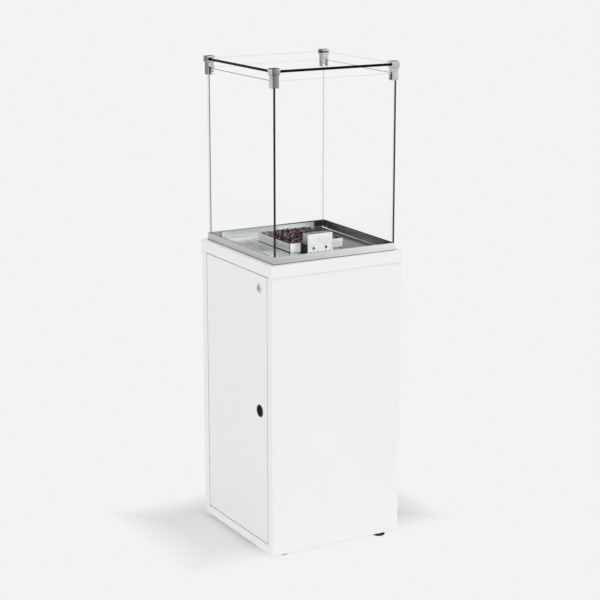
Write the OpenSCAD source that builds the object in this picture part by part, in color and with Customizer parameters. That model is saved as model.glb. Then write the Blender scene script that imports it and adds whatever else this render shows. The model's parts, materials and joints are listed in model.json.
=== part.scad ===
// Glass-sided gas fireplace on a square steel cabinet: the cabinet holds the gas
// controls behind a door, and carries a stainless tray with a lava-stone burner
// inside four standing panes and a level top pane.
// Millimetres. Origin at the centre of the footprint on the floor, +Z up,
// -Y is the plain front, -X is the door side.

/* [Cabinet] */
// Width and depth of the square cabinet
body_w = 460; // [450:1:480]
// Height of the cabinet's lower edge above the floor
foot_gap = 15; // [14:0.5:17]
// Height of the cabinet's sides below the cap
body_h = 887; // [860:1:920]
// Height of the cap's band
cap_band = 37; // [34:0.5:42]
// How far the cap stands out from the sides
cap_over = 3; // [2.5:0.1:4]
// Thickness of the cabinet's sheet steel
sheet = 1.5; // [1.2:0.1:1.6]
// Width of the frame beside the door
stile = 29; // [28:0.5:31]
// Height of the rail below the door
rail_h = 27; // [24:0.5:32]

/* [Door] */
// Gap around the door
door_gap = 4; // [3.5:0.1:4.5]
// Depth of the door's folded edges
door_fold = 14; // [12:0.5:14.5]
// Distance of the lock's centre below the door's upper edge
lock_drop = 41; // [40:1:58]
// Height of the finger cup's centre above the floor
cup_z = 468; // [300:1:700]
// Distance of the lock and the cup from the door's free edge
latch_in = 46; // [42:0.5:46]
// Radius of the finger cup's collar
cup_r = 20; // [16:0.5:24]
// Radius of the lock's rosette
lock_r = 14; // [12:0.5:16]

/* [Tray] */
// Distance of the square tray's sides in from the cabinet's sides
tray_in = 14; // [12:0.5:17]
// Height of the tray's rim
rim_h = 22; // [18:0.5:26]
// Thickness of the stainless sheet
inox = 1.2; // [1:0.1:1.5]
// Distance of the raised floor plate's edges in from the tray's sides
floor_in = 20; // [20:0.5:24]

/* [Glass] */
// Thickness of the four standing panes
pane_t = 6; // [5:0.5:6]
// Height of the standing panes
pane_h = 544; // [450:1:620]
// Thickness of the top pane
lid_t = 8; // [6:0.5:10]
// Open gap between the standing panes and the top pane
vent_gap = 23.5; // [20:0.5:30]
// Width of a clamp's post
clamp_w = 21.5; // [21:0.25:24]
// Width of a clamp's head
head_w = 27; // [26:0.5:30]
// Height of a clamp's head
head_h = 20; // [18:0.5:22]

/* [Burner] */
// Width of the burner box
burner_w = 191; // [187:1:193]
// Depth of the burner box
burner_d = 199; // [195:1:200]
// Height of the burner box above the tray's floor
burner_rise = 27; // [22:0.5:32]
// Height of the pilot box
pilot_h = 60; // [50:1:66]
// Width of the pilot box
pilot_w = 88; // [84:1:90]
// Number of stones along each side of the bed
stone_n = 10; // [10:1:10]
// Height of the bed's crown above the stones at its edge
crown = 17; // [10:1:20]

/* [Hidden] */
$fn = 48;
fit = 0.05;
t = sheet;
hb = body_w / 2;
hc = hb + cap_over;
z0 = foot_gap;
zs = z0 + body_h;
zc = zs + cap_band;
zu = zc - t;
ys = hb - stile;
yd = ys - door_gap;
zr = z0 + rail_h;
dz0 = zr + door_gap;
dz1 = zs - door_gap;
fold_x = -hb + door_fold + 4;
lip_y = ys - 11;
fold_w = 22;
dfx = -hb + door_fold;
piv_x = -hb + 8;
piv_y = yd - 12;
latch_y = -yd + latch_in;
lock_z = dz1 - lock_drop;
base_h = 26.5;
foot_xy = [[-hb + 58, -hb + 46], [-hb + 58, hb - 46], [hb - 54, -hb + 28], [hb - 54, hb - 28]];

gasket_t = 1;
gasket_w = 47.5;
zt = zc + gasket_t;
zb = zt + inox;
zf = zb + inox;
rim_t = 1.5;
ht = hb - tray_in;
hf = ht - floor_in;
lip_t = 0.75;
hg = ht - rim_t - lip_t;
gi = hg - pane_t;
seat_h = 2.2;
pz0 = zb + seat_h;
pz1 = pz0 + pane_h;
lz0 = pz1 + vent_gap;
lz1 = lz0 + lid_t;
rail_in = gi - lip_t - 1.5;
rail_l = ht - 45;
screw_c = gi - lip_t - 5;

post_out = hg + 4.5;
cc = post_out - clamp_w / 2;
post_in = cc - clamp_w / 2;
pad_t = 1.25;
cz0 = pz1 - 21;
cz1 = lz1 + 5.5;
hz0 = cz1 - head_h;
grub_c = (post_in + gi - pad_t) / 2;

bx = burner_w / 2;
by = burner_d / 2;
win_x = bx + 24.5;
win_y = by + 58.5;
cap_hole = win_y + 7;
bz1 = zf + burner_rise;
bz0 = zt - 35;
grate_z = bz0 + 29;
tube_z = bz0 + 15;
px0 = -12 - pilot_w / 2;
px1 = -12 + pilot_w / 2;
pilot_d = 30;
py0 = -by - 14 - pilot_d;
py1 = py0 + pilot_d;
pil = [-30, py0 + 16.5];
thc = [5, py0 + 16.5];
notch_w = 7;
notch_h = 3.6;
notch_n = 6;
slot_l = 13;
slot_w = 7;
slot_pitch = 18;
row_pitch = 15;
shield_z = bz0 - 25;
ctl_x = -hb + 50;
ctl_z = shield_z - 55;
panel_y = [-80, 100];
panel_low = 45;
panel_fold = 18;
valve_y = 30;
valve_l = 44;
valve_w = 50;
valve_h = 40;
valve_out = 10;
spark_y = -35;
inj_y = by + 41.5;

// Stones: one cell of a shaken grid each
sx = bx - inox - 0.8;
sy = by - inox - 0.8;
stone_z = grate_z + inox;
mid_z = bz1 - 12;

// Block between two opposite corners
module span(x0, x1, y0, y1, za, zz) {
    translate([x0, y0, za]) cube([x1 - x0, y1 - y0, zz - za]);
}

// Bar along X, or pin along X, with its lower end at x0
module rod_x(x0, x1, y, z, r) {
    translate([x0, y, z]) rotate([0, 90, 0]) cylinder(h = x1 - x0, r = r);
}

module rod_y(y0, y1, x, z, r) {
    translate([x, y1, z]) rotate([90, 0, 0]) cylinder(h = y1 - y0, r = r);
}

// Slot with round ends along X, cut through from below
module slot_x(x, y, l, w, za, zz) {
    translate([x - (l - w) / 2, y, za]) cylinder(h = zz - za, r = w / 2, $fn = 16);
    translate([x + (l - w) / 2, y, za]) cylinder(h = zz - za, r = w / 2, $fn = 16);
    span(x - (l - w) / 2, x + (l - w) / 2, y - w / 2, y + w / 2, za, zz);
}

// The same piece in each quarter of the plan
module quarters() {
    for (a = [0, 1], b = [0, 1]) mirror([a, 0, 0]) mirror([0, b, 0]) children();
}

// Cabinet

module base_tray() {
    color([0.93, 0.93, 0.94]) difference() {
        union() {
            span(fold_x + 0.5, hb - 2 * t, -hb + t, hb - t, z0, z0 + t);
            span(fold_x + 0.5, fold_x + 0.5 + t, -hb + t, hb - t, z0, z0 + base_h);
            span(hb - 3 * t, hb - 2 * t, -hb + t, hb - t, z0, z0 + base_h);
            for (s = [0, 1]) mirror([0, s, 0])
                span(fold_x + 0.5, hb - 2 * t, hb - 2 * t, hb - t, z0, z0 + base_h);
        }
        for (p = foot_xy) translate([p[0], p[1], z0 - 1]) cylinder(h = t + 2, r = 5.5);
        for (a = [-1, 1], b = [-1, 1])
            translate([a * 90, b * 90, z0 - 1]) cylinder(h = t + 2, r = 4.5);
        for (k = [-3 : 3]) slot_x(0, k * 20, 100, 8, z0 - 1, z0 + t + 1);
    }
}

// Front or back sheet: the face, the frame beside the door and the inner folds
module wrap_sheet(lip) {
    span(-hb, hb, -hb, -hb + t, z0, zu);
    span(-hb, -hb + t, -hb, -ys, z0, zu);
    span(-hb, fold_x, -ys - t, -ys, zr + 2, zs - 1);
    if (lip) span(fold_x - t, fold_x, -ys - t, -lip_y, zr + 2, zs - 1);
    span(hb - 2 * t, hb - t, -hb, -hb + fold_w, z0, zu);
}

module front_panel() {
    color([0.94, 0.94, 0.95]) wrap_sheet(true);
}

module back_panel() {
    color([0.94, 0.94, 0.95]) difference() {
        mirror([0, 1, 0]) wrap_sheet(false);
        for (k = [0 : 4], x = [-100, 0, 100])
            translate([0, hb, z0 + 70 + k * 16]) rotate([90, 0, 0])
                slot_x(x, 0, 70, 6, -1, t + 1);
    }
}

module side_panel() {
    color([0.94, 0.94, 0.95]) span(hb - t, hb, -hb + t, hb - t, z0, zu);
}

module bottom_rail() {
    color([0.94, 0.94, 0.95]) difference() {
        union() {
            span(-hb, -hb + t, -ys + 1, ys - 1, z0, zr);
            span(-hb, fold_x + 0.5, -ys + 1, ys - 1, z0, z0 + t);
            span(-hb, fold_x, -ys + 1, ys - 1, zr - t, zr);
        }
        translate([piv_x, piv_y, zr - t - 1]) cylinder(h = t + 2, r = 5.5);
    }
}

module top_rail() {
    color([0.94, 0.94, 0.95]) difference() {
        union() {
            span(-hb, -hb + t, -ys + 1, ys - 1, zs + 1, zu);
            span(-hb, -hb + fold_w, -ys + 1, ys - 1, zs + 1, zs + 1 + t);
            span(-hb, -hb + fold_w, -ys + 1, ys - 1, zu - t, zu);
        }
        translate([piv_x, piv_y, zs]) cylinder(h = t + 2, r = 5.5);
    }
}

module top_cap() {
    color([0.94, 0.94, 0.95]) difference() {
        union() {
            difference() {
                span(-hc, hc, -hc, hc, zs, zc);
                span(-hc + t, hc - t, -hc + t, hc - t, zs - 1, zc - t);
            }
            span(-cap_hole - t, cap_hole + t, -cap_hole - t, cap_hole + t, zc - 14, zc);
        }
        span(-cap_hole, cap_hole, -cap_hole, cap_hole, zc - 20, zc + 1);
        quarters() translate([screw_c, screw_c, zc - 5]) cylinder(h = 10, r = 2.6);
    }
}

module heat_shield() {
    color([0.72, 0.73, 0.74]) difference() {
        union() {
            span(ctl_x, hb - 2 * t, -hb + t, hb - t, shield_z, shield_z + inox);
            for (s = [0, 1]) mirror([0, s, 0])
                span(ctl_x, hb - 2 * t, hb - t - inox, hb - t, shield_z - 20, shield_z + inox);
        }
        translate([0, inj_y, shield_z - 1]) cylinder(h = 5, r = 6);
        translate([pil[0], pil[1], shield_z - 1]) cylinder(h = 5, r = 4);
        translate([thc[0], thc[1], shield_z - 1]) cylinder(h = 5, r = 4);
    }
}

// Door

module door_panel() {
    color([0.93, 0.93, 0.94]) difference() {
        span(-hb, dfx, -yd, yd, dz0, dz1);
        span(-hb + t, dfx + 1, -yd + t, yd - t, dz0 + t, dz1 - t);
        for (z = [dz0 - 1, dz1 - t - 1])
            translate([piv_x, piv_y, z]) cylinder(h = t + 2, r = 3.02);
        rod_x(-hb - 1, -hb + t + 1, latch_y, lock_z, 9.02);
        rod_x(-hb - 1, -hb + t + 1, latch_y, cup_z, cup_r - 1.98);
    }
}

module door_pivots() {
    color([0.7, 0.7, 0.72]) {
        translate([piv_x, piv_y, 0]) {
            translate([0, 0, zr - 5]) cylinder(h = dz0 + t - zr + 5, r = 3);
            translate([0, 0, zr + t + fit]) cylinder(h = dz0 - zr - t - fit, r = 5);
            translate([0, 0, dz0 + t]) cylinder(h = 3, r = 5);
            translate([0, 0, dz1 - t]) cylinder(h = zs - dz1 + t + 6, r = 3);
            translate([0, 0, dz1 - t - 3]) cylinder(h = 3, r = 5);
        }
    }
}

module pivot_bushes() {
    color([0.85, 0.85, 0.82]) translate([piv_x, piv_y, 0]) {
        difference() {
            union() {
                translate([0, 0, zr]) cylinder(h = t, r = 7.5);
                translate([0, 0, zr - 3.5]) cylinder(h = 3.5 + t, r = 5.48);
            }
            translate([0, 0, zr - 5]) cylinder(h = 10, r = 3 + fit);
        }
        difference() {
            union() {
                translate([0, 0, zs - 0.5]) cylinder(h = 1.5, r = 7.5);
                translate([0, 0, zs - 0.5]) cylinder(h = 5.5, r = 5.48);
            }
            translate([0, 0, zs - 1]) cylinder(h = 10, r = 3 + fit);
        }
    }
}

module door_bumpers() {
    color([0.08, 0.08, 0.08]) for (z = [dz0 + 70, (dz0 + dz1) / 2, dz1 - 130])
        rod_x(dfx + 0.1, fold_x - t, -yd + 1, z, 5);
}

module finger_cup() {
    color([0.03, 0.03, 0.03]) translate([-hb - 1, latch_y, cup_z]) rotate([0, 90, 0])
        rotate_extrude() polygon([[cup_r - 4, 0.3], [cup_r - 3.6, 0], [cup_r - 0.6, 0],
            [cup_r, 0.6], [cup_r, 1], [cup_r - 2, 1], [cup_r - 2, 13], [0, 13], [0, 11.8],
            [cup_r - 4, 11.8]]);
}

module lock_housing() {
    color([0.8, 0.8, 0.81]) translate([-hb - 2, latch_y, lock_z]) rotate([0, 90, 0])
        rotate_extrude() polygon([[5.5 + fit, 0], [lock_r - 0.8, 0], [lock_r, 0.8], [lock_r, 2],
            [9, 2], [9, 19], [5.5 + fit, 19]]);
}

module lock_plug() {
    color([0.7, 0.7, 0.71]) difference() {
        rod_x(-hb - 1.7, fold_x + 3, latch_y, lock_z, 5.5);
        span(-hb - 3, -hb + 6, latch_y - 0.6, latch_y + 0.6, lock_z - 3.5, lock_z + 3.5);
    }
}

module lock_cam() {
    color([0.66, 0.66, 0.68]) difference() {
        union() {
            rod_x(fold_x + 0.5, fold_x + 2.5, latch_y, lock_z, 9);
            span(fold_x + 0.5, fold_x + 2.5, latch_y - 6, latch_y + 6, lock_z - latch_in + 1.5, lock_z);
        }
        rod_x(fold_x, fold_x + 3, latch_y, lock_z, 5.52);
    }
}

module lock_nut() {
    color([0.7, 0.7, 0.71]) difference() {
        translate([-hb + t, latch_y, lock_z]) rotate([0, 90, 0]) cylinder(h = 4, r = 13, $fn = 6);
        rod_x(-hb, -hb + 8, latch_y, lock_z, 9.02);
    }
}

// Feet

module foot(n) {
    color([0.04, 0.04, 0.04]) translate([foot_xy[n][0], foot_xy[n][1], 0]) {
        rotate_extrude() polygon([[0, 0], [19, 0], [20, 1], [20, 3.2], [16, 5.5], [4.95, 5.5],
            [4.95, 48], [0, 48]]);
        translate([0, 0, z0 - 6.5]) cylinder(h = 6.4, r = 9.5, $fn = 6);
    }
}

module foot_door_front() { foot(0); }
module foot_door_back() { foot(1); }
module foot_side_front() { foot(2); }
module foot_side_back() { foot(3); }

module foot_nuts() {
    color([0.72, 0.72, 0.74]) for (p = foot_xy) translate([p[0], p[1], z0 + t]) difference() {
        union() {
            cylinder(h = 8, r = 9.5, $fn = 6);
            cylinder(h = 1.2, r = 12);
        }
        translate([0, 0, -1]) cylinder(h = 10, r = 5);
    }
}

// Tray

module tray_gasket() {
    color([0.05, 0.05, 0.05]) difference() {
        span(-ht + 0.5, ht - 0.5, -ht + 0.5, ht - 0.5, zc, zt);
        span(gasket_w - ht + 0.5, ht - gasket_w - 0.5, gasket_w - ht + 0.5, ht - gasket_w - 0.5, zc - 1, zt + 1);
        quarters() translate([screw_c, screw_c, zc - 5]) cylinder(h = 10, r = 2.6);
    }
}

module rim_tray() {
    color([0.76, 0.76, 0.77]) difference() {
        span(-ht, ht, -ht, ht, zt, zt + rim_h);
        span(-ht + rim_t, ht - rim_t, -ht + rim_t, ht - rim_t, zb, zt + rim_h + 1);
        span(-win_x, win_x, -win_y, win_y, zt - 1, zb + 1);
        quarters() translate([screw_c, screw_c, zc - 5]) cylinder(h = 10, r = 2.6);
    }
}

module tray_screws() {
    color([0.7, 0.7, 0.71]) quarters() translate([screw_c, screw_c, 0]) difference() {
        union() {
            translate([0, 0, zc - 11]) cylinder(h = zb - zc + 11, r = 2.5);
            translate([0, 0, zb]) cylinder(h = 2.6, r = 4.4);
        }
        translate([0, 0, zb + 1]) cylinder(h = 3, r = 1.7, $fn = 6);
    }
}

module tray_nuts() {
    color([0.7, 0.7, 0.71]) quarters() translate([screw_c, screw_c, zu - 4]) difference() {
        cylinder(h = 4, r = 4.6, $fn = 6);
        translate([0, 0, -1]) cylinder(h = 6, r = 2.52);
    }
}

module floor_pan() {
    color([0.8, 0.81, 0.82]) difference() {
        span(-hf, hf, -hf, hf, zb, zf);
        span(-bx - 1.5, bx + 1.5, -by - 1.5, by + 1.5, zb - 1, zf + 1);
        for (s = [-1, 1])
            span(s * (bx + 0.2) - 1.3, s * (bx + 0.2) + 1.3, -by - 36, by + 36, zb - 1, zf + 1);
        for (s = [-1, 1], r = [0 : 2], k = [0 : 9 - r % 2])
            slot_x((k - (9 - r % 2) / 2) * slot_pitch, s * (by + 10.5 + r * row_pitch), slot_l, slot_w,
                zb - 1, zf + 1);
        translate([pil[0], pil[1], zb - 1]) cylinder(h = 5, r = 2.6);
        translate([thc[0], thc[1], zb - 1]) cylinder(h = 5, r = 1.8);
    }
}

module rail_pair() {
    for (s = [0, 1]) mirror([s, 0, 0]) {
        span(rail_in, rail_in + 1.5, -rail_l, rail_l, zb, zt + rim_h - 2);
        span(hf + 0.5, rail_in + 1, -rail_l, rail_l, zb, zf);
    }
}

module glass_rails() {
    color([0.74, 0.75, 0.76]) {
        rail_pair();
        rotate([0, 0, 90]) rail_pair();
    }
}

module seat_pair(len, lip_len) {
    for (s = [0, 1]) mirror([s, 0, 0]) {
        span(gi - lip_t, ht - rim_t, -len, len, zb, pz0);
        span(hg, ht - rim_t, -len, len, zb, zt + rim_h - 0.5);
        span(gi - lip_t, gi, -lip_len, lip_len, zb, zt + rim_h - 3);
    }
}

module glass_seats() {
    color([0.12, 0.12, 0.12]) {
        seat_pair(hg, rail_l);
        rotate([0, 0, 90]) seat_pair(gi - lip_t - 0.3, rail_l);
    }
}

// Glass

module pane_front() {
    color([0.8, 0.9, 0.88, 0.35]) span(-gi + 0.3, gi - 0.3, -hg, -gi, pz0, pz1);
}

module pane_back() {
    color([0.8, 0.9, 0.88, 0.35]) span(-gi + 0.3, gi - 0.3, gi, hg, pz0, pz1);
}

module pane_left() {
    color([0.8, 0.9, 0.88, 0.35]) span(-hg, -gi, -hg, hg, pz0, pz1);
}

module pane_right() {
    color([0.8, 0.9, 0.88, 0.35]) span(gi, hg, -hg, hg, pz0, pz1);
}

module top_glass() {
    color([0.8, 0.9, 0.88, 0.35]) span(-hg, hg, -hg, hg, lz0, lz1);
}

// Profile of the clamp's head, bevelled above and below
module head_profile() {
    h = head_w / 2;
    polygon([[-clamp_w / 2, hz0], [-h, hz0 + (h - clamp_w / 2) * 0.7], [-h, cz1 - 1], [-h + 1, cz1],
        [h - 1, cz1], [h, cz1 - 1], [h, hz0 + (h - clamp_w / 2) * 0.7], [clamp_w / 2, hz0]]);
}

module clamp_body() {
    difference() {
        union() {
            span(post_in, post_out, post_in, post_out, cz0, hz0 + 1);
            translate([cc, cc, 0]) intersection() {
                translate([0, 50, 0]) rotate([90, 0, 0]) linear_extrude(100) head_profile();
                rotate([0, 0, 90]) translate([0, 50, 0]) rotate([90, 0, 0]) linear_extrude(100)
                    head_profile();
            }
        }
        span(gi - pad_t, hg + pad_t, post_in - 10, hg + 0.2, cz0 - 1, pz1 + 3.5);
        span(post_in - 10, hg + 0.2, gi - pad_t, hg + pad_t, cz0 - 1, pz1 + 3.5);
        span(post_in - 10, hg + 2.5, post_in - 10, hg + 2.5, lz0 - 1, lz1 + 1);
        rod_y(post_in - 1, gi, grub_c, cz0 + 10.7, 2.5);
        rod_x(post_in - 1, gi, grub_c, cz0 + 5, 2.5);
    }
}

module corner(a, b) {
    color([0.75, 0.75, 0.76]) mirror([a, 0, 0]) mirror([0, b, 0]) clamp_body();
}

module clamp_front_left() { corner(1, 1); }
module clamp_front_right() { corner(0, 1); }
module clamp_back_left() { corner(1, 0); }
module clamp_back_right() { corner(0, 0); }

// Rubber liner in each clamp: it fills the slots around the two panes
module clamp_liners() {
    color([0.05, 0.05, 0.05]) quarters() difference() {
        union() {
            span(gi - pad_t, hg + pad_t, post_in + 0.5, hg + 0.2, cz0 + 0.5, pz1 + 3.5);
            span(post_in + 0.5, hg + 0.2, gi - pad_t, hg + pad_t, cz0 + 0.5, pz1 + 3.5);
        }
        span(gi, hg, post_in - 1, hg, cz0 - 1, pz1);
        span(post_in - 1, gi, gi, hg, cz0 - 1, pz1);
    }
}

module lid_pads() {
    color([0.06, 0.06, 0.06]) quarters() for (z = [lz0 - 1, lz1])
        span(post_in, hg - 0.5, post_in, hg - 0.5, z, z + 1);
}

module clamp_screws() {
    color([0.1, 0.1, 0.1]) quarters() {
        difference() {
            rod_y(post_in + 0.2, gi - pad_t, grub_c, cz0 + 10.7, 2.5 - fit);
            translate([grub_c, post_in + 3, cz0 + 10.7]) rotate([90, 0, 0])
                cylinder(h = 5, r = 1.5, $fn = 6);
        }
        difference() {
            rod_x(post_in + 0.2, gi - pad_t, grub_c, cz0 + 5, 2.5 - fit);
            translate([post_in - 2, grub_c, cz0 + 5]) rotate([0, 90, 0])
                cylinder(h = 5, r = 1.5, $fn = 6);
        }
    }
}

// Burner

module burner_box() {
    color([0.78, 0.78, 0.79]) difference() {
        union() {
            span(-bx, bx, -by, by, bz0, bz1);
            span(-bx - 12, bx + 12, -by - 12, by + 12, zt, zb);
        }
        span(-bx + inox, bx - inox, -by + inox, by - inox, bz0 + inox, bz1 + 1);
        rod_y(by - 5, by + 5, 0, tube_z, 11 + fit);
        span(-40, 16, -by - 1, -by + 5, zf + 4, bz1 - 7);
        translate([spark_p[0], spark_p[1], bz0 - 1]) cylinder(h = 4, r = 2);
        translate([probe_p[0], probe_p[1], bz0 - 1]) cylinder(h = 4, r = 1.6);
        quarters() translate([bx - 15, by - 25, bz0 - 1]) cylinder(h = 4, r = 5);
    }
}

cell_x = 2 * sx / stone_n;
cell_y = 2 * sy / stone_n;
spark_p = [sx - cell_x * 0.55, -sy + cell_y * 8.5];
probe_p = [-sx + cell_x * 7.5, -sy + cell_y * 8.5];

module burner_grate() {
    gx = bx - inox - 1.5;
    gy = by - inox - 1.5;
    color([0.55, 0.55, 0.56]) difference() {
        union() {
            span(-gx, gx, -gy, gy, grate_z, grate_z + inox);
            for (s = [0, 1]) mirror([s, 0, 0]) span(gx - inox, gx, -gy, gy, bz0 + inox, grate_z + 1);
        }
        for (i = [-2 : 2], j = [-5 : 5]) slot_x(i * 33, j * 15, 24, 5, grate_z - 1, grate_z + inox + 1);
        translate([spark_p[0], spark_p[1], grate_z - 1]) cylinder(h = 4, r = 3.6);
        translate([probe_p[0], probe_p[1], grate_z - 1]) cylinder(h = 4, r = 2.4);
    }
}

module burner_tube() {
    color([0.6, 0.58, 0.55]) difference() {
        union() {
            rod_y(-by + 20, by + 28, 0, tube_z, 11);
            rod_y(by, by + 2, 0, tube_z, 15);
        }
        rod_y(-by + 21, by + 30, 0, tube_z, 10);
        for (k = [0 : 12], s = [-1, 1]) translate([0, -by + 30 + k * 13, tube_z])
            rotate([0, s * 35, 0]) cylinder(h = 15, r = 1.3, $fn = 16);
        for (s = [-1, 1]) translate([0, by + 14, tube_z]) rotate([0, s * 90, 0])
            cylinder(h = 15, r = 4);
    }
}

module injector_bracket() {
    color([0.72, 0.73, 0.74]) difference() {
        union() {
            span(-14, 14, by + 30, by + 55, shield_z + inox, shield_z + inox + 1.5);
            span(-14, 14, by + 30, by + 31.5, shield_z + inox, tube_z + 12);
        }
        rod_y(by + 25, by + 35, 0, tube_z, 4.5 + fit);
        translate([0, inj_y, shield_z]) cylinder(h = 5, r = 6);
    }
}

module burner_injector() {
    color([0.78, 0.62, 0.3]) difference() {
        union() {
            rod_y(by + 24, by + 32, 0, tube_z, 4.5);
            translate([0, by + 50, tube_z]) rotate([90, 0, 0]) cylinder(h = 18.5, r = 8.5, $fn = 6);
            translate([0, inj_y, tube_z - 12]) cylinder(h = 10, r = 6);
        }
        rod_y(by + 20, by + 40, 0, tube_z, 0.9);
        translate([0, inj_y, tube_z - 13]) cylinder(h = 5, r = 4.02);
    }
}

// Value from 0 to 1 that depends on the cell only
function shake(i, j, k) = let (v = sin(i * 127.1 + j * 311.7 + k * 74.7) * 43.7585) v - floor(v);
// Corner of the grid, shaken except across the box's walls
function knot(i, j) = [
    -sx + cell_x * i + (i == 0 || i == stone_n ? 0 : (shake(i, j, 1) - 0.5) * cell_x * 0.42),
    -sy + cell_y * j + (j == 0 || j == stone_n ? 0 : (shake(i, j, 2) - 0.5) * cell_y * 0.42)];
function cell(i, j) = [knot(i, j), knot(i + 1, j), knot(i + 1, j + 1), knot(i, j + 1)];
function middle(q) = (q[0] + q[1] + q[2] + q[3]) / 4;
function inset(q, k) = let (m = middle(q)) [for (p = q) p + (m - p) * k];
function ring(q, z, i, j, k, d) = [for (n = [0 : 3])
    [q[n][0], q[n][1], z + (shake(i, j, k + n) - 0.5) * d]];
function crown_z(m) = bz1 - 3 + crown * (1 - pow(m[0] / sx, 2)) * (1 - pow(m[1] / sy, 2));

// Stone with a flat foot, a belt that nearly meets its neighbours and a broken top
module stone(q, za, zz, i, j, flat) {
    h = zz - za;
    m = middle(q);
    r0 = ring(inset(q, 0.22), za, i, j, 3, 0);
    r1 = ring(inset(q, 0.02), za + h * 0.36, i, j, 5, flat ? 0 : h * 0.12);
    r2 = ring(inset(q, 0.02), za + h * 0.62, i, j, 9, flat ? 0 : h * 0.12);
    r3 = ring(inset(q, 0.3), flat ? zz : za + h * 0.86, i, j, 13, flat ? 0 : h * 0.14);
    top = [[m[0], m[1], flat ? zz : zz]];
    pts = concat(r0, r1, r2, r3, top);
    polyhedron(pts, concat([[3, 2, 1, 0]],
        [for (r = [0 : 2], n = [0 : 3]) [r * 4 + n, r * 4 + (n + 1) % 4, r * 4 + 4 + n]],
        [for (r = [0 : 2], n = [0 : 3]) [r * 4 + (n + 1) % 4, r * 4 + 4 + (n + 1) % 4, r * 4 + 4 + n]],
        flat ? [[12, 13, 14, 15]] : [for (n = [0 : 3]) [12 + n, 12 + (n + 1) % 4, 16]]));
}

function kept(i, j) = !(j == 8 && (i == 9 || i == 7));
function low_spot(i, j) = i == 9 && j > 6;

module lava_stones() {
    color([0.36, 0.2, 0.2]) for (i = [0 : stone_n - 1], j = [0 : stone_n - 1]) if (kept(i, j)) {
        q = cell(i, j);
        stone(q, stone_z, mid_z, i, j, true);
        if (!low_spot(i, j)) stone(q, mid_z + 0.3, crown_z(middle(q)) + shake(i, j, 20) * 6, i, j, false);
    }
}

module pilot_box() {
    color([0.82, 0.82, 0.83]) difference() {
        span(px0, px1, py0, py1, zf, zf + pilot_h);
        span(px0 + inox, px1 - inox, py0 + inox, py1 - inox, zf - 1, zf + pilot_h - inox);
        for (s = [-1, 1]) rod_y(py0 - 1, py0 + 5, -12.3 + s * 21.8, zf + 15, 4);
        for (k = [0.5 : notch_n - 0.5]) translate([px0 + 3 + k * (pilot_w - 6) / notch_n, py0, zf])
            span(-notch_w / 2, notch_w / 2, -1, 5, -1, notch_h);
        span(-44, 20, py1 - 5, py1 + 1, zf + 8, zf + pilot_h - 12);
    }
}

module pilot_burner() {
    color([0.72, 0.7, 0.66]) translate([pil[0], pil[1], zf]) difference() {
        union() {
            cylinder(h = 2, r = 8);
            cylinder(h = 20, r = 5);
            translate([0, 0, 20]) cylinder(h = 2, r = 8);
        }
        translate([0, 0, -1]) cylinder(h = 8, r = 2.02);
        translate([0, 0, 5]) cylinder(h = 12, r = 1.6);
        for (a = [0, 60, 120]) rotate([0, 0, a + 90]) translate([0, 0, 15])
            rotate([0, 90, 0]) cylinder(h = 8, r = 1.2, $fn = 16);
    }
}

// Bend from direction a to direction b, both along an axis
function turn(a, b) = let (x = -b, z = cross(-b, a)) abs(x[2]) > 0.5
    ? [0, x[2] > 0 ? -90 : 90, atan2(-a[0], a[1])]
    : [atan2(a[2], z[2]), 0, atan2(x[1], x[0])];

module bend(p, a, b, r, br) {
    translate(p - a * br + b * br) rotate(turn(a, b))
        rotate_extrude(angle = 90) translate([br, 0]) circle(r = r, $fn = 24);
}

// Round pipe through points, each leg along an axis
module pipe(pts, r, br) {
    n = len(pts);
    for (k = [0 : n - 2]) {
        d = pts[k + 1] - pts[k];
        u = d / norm(d);
        a = k == 0 ? 0 : br;
        b = k == n - 2 ? 0 : br;
        translate(pts[k] + u * a) rotate(abs(u[0]) > 0.5 ? [0, 90 * u[0], 0]
            : abs(u[1]) > 0.5 ? [-90 * u[1], 0, 0] : [u[2] > 0 ? 0 : 180, 0, 0])
            cylinder(h = norm(d) - a - b, r = r, $fn = 24);
        if (k < n - 2) {
            e = pts[k + 2] - pts[k + 1];
            bend(pts[k + 1], u, e / norm(e), r, br);
        }
    }
}

module gas_pipe() {
    color([0.72, 0.45, 0.3]) pipe([[ctl_x + valve_l + valve_out, valve_y, ctl_z], [0, valve_y, ctl_z],
        [0, inj_y, ctl_z], [0, inj_y, tube_z - 8]], 4, 16);
}

module pilot_pipe() {
    color([0.72, 0.45, 0.3]) pipe([[ctl_x + 30, valve_y + 15, ctl_z + valve_h / 2],
        [ctl_x + 30, valve_y + 15, shield_z - 8], [pil[0], valve_y + 15, shield_z - 8],
        [pil[0], pil[1], shield_z - 8], [pil[0], pil[1], zf + 7]], 2, 7);
}

module thermocouple() {
    color([0.66, 0.48, 0.34]) {
        pipe([[ctl_x + 30, valve_y - 15, ctl_z + valve_h / 2],
            [ctl_x + 30, valve_y - 15, shield_z - 16], [thc[0], valve_y - 15, shield_z - 16],
            [thc[0], thc[1], shield_z - 16], [thc[0], thc[1], zf + 14]], 1.2, 6);
        translate([thc[0], thc[1], zf]) cylinder(h = 2, r = 5);
        translate([thc[0], thc[1], zf + 13]) cylinder(h = 14, r = 2);
    }
}

module spark_electrode() {
    color([0.4, 0.4, 0.42]) {
        translate([spark_p[0], spark_p[1], bz0 - 12]) cylinder(h = bz1 - bz0 + 18, r = 1);
        translate([probe_p[0], probe_p[1], bz0 - 12]) cylinder(h = bz1 - bz0 + 25, r = 1.4);
        translate([probe_p[0], probe_p[1], bz0 + inox]) cylinder(h = 2, r = 5);
    }
}

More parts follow.
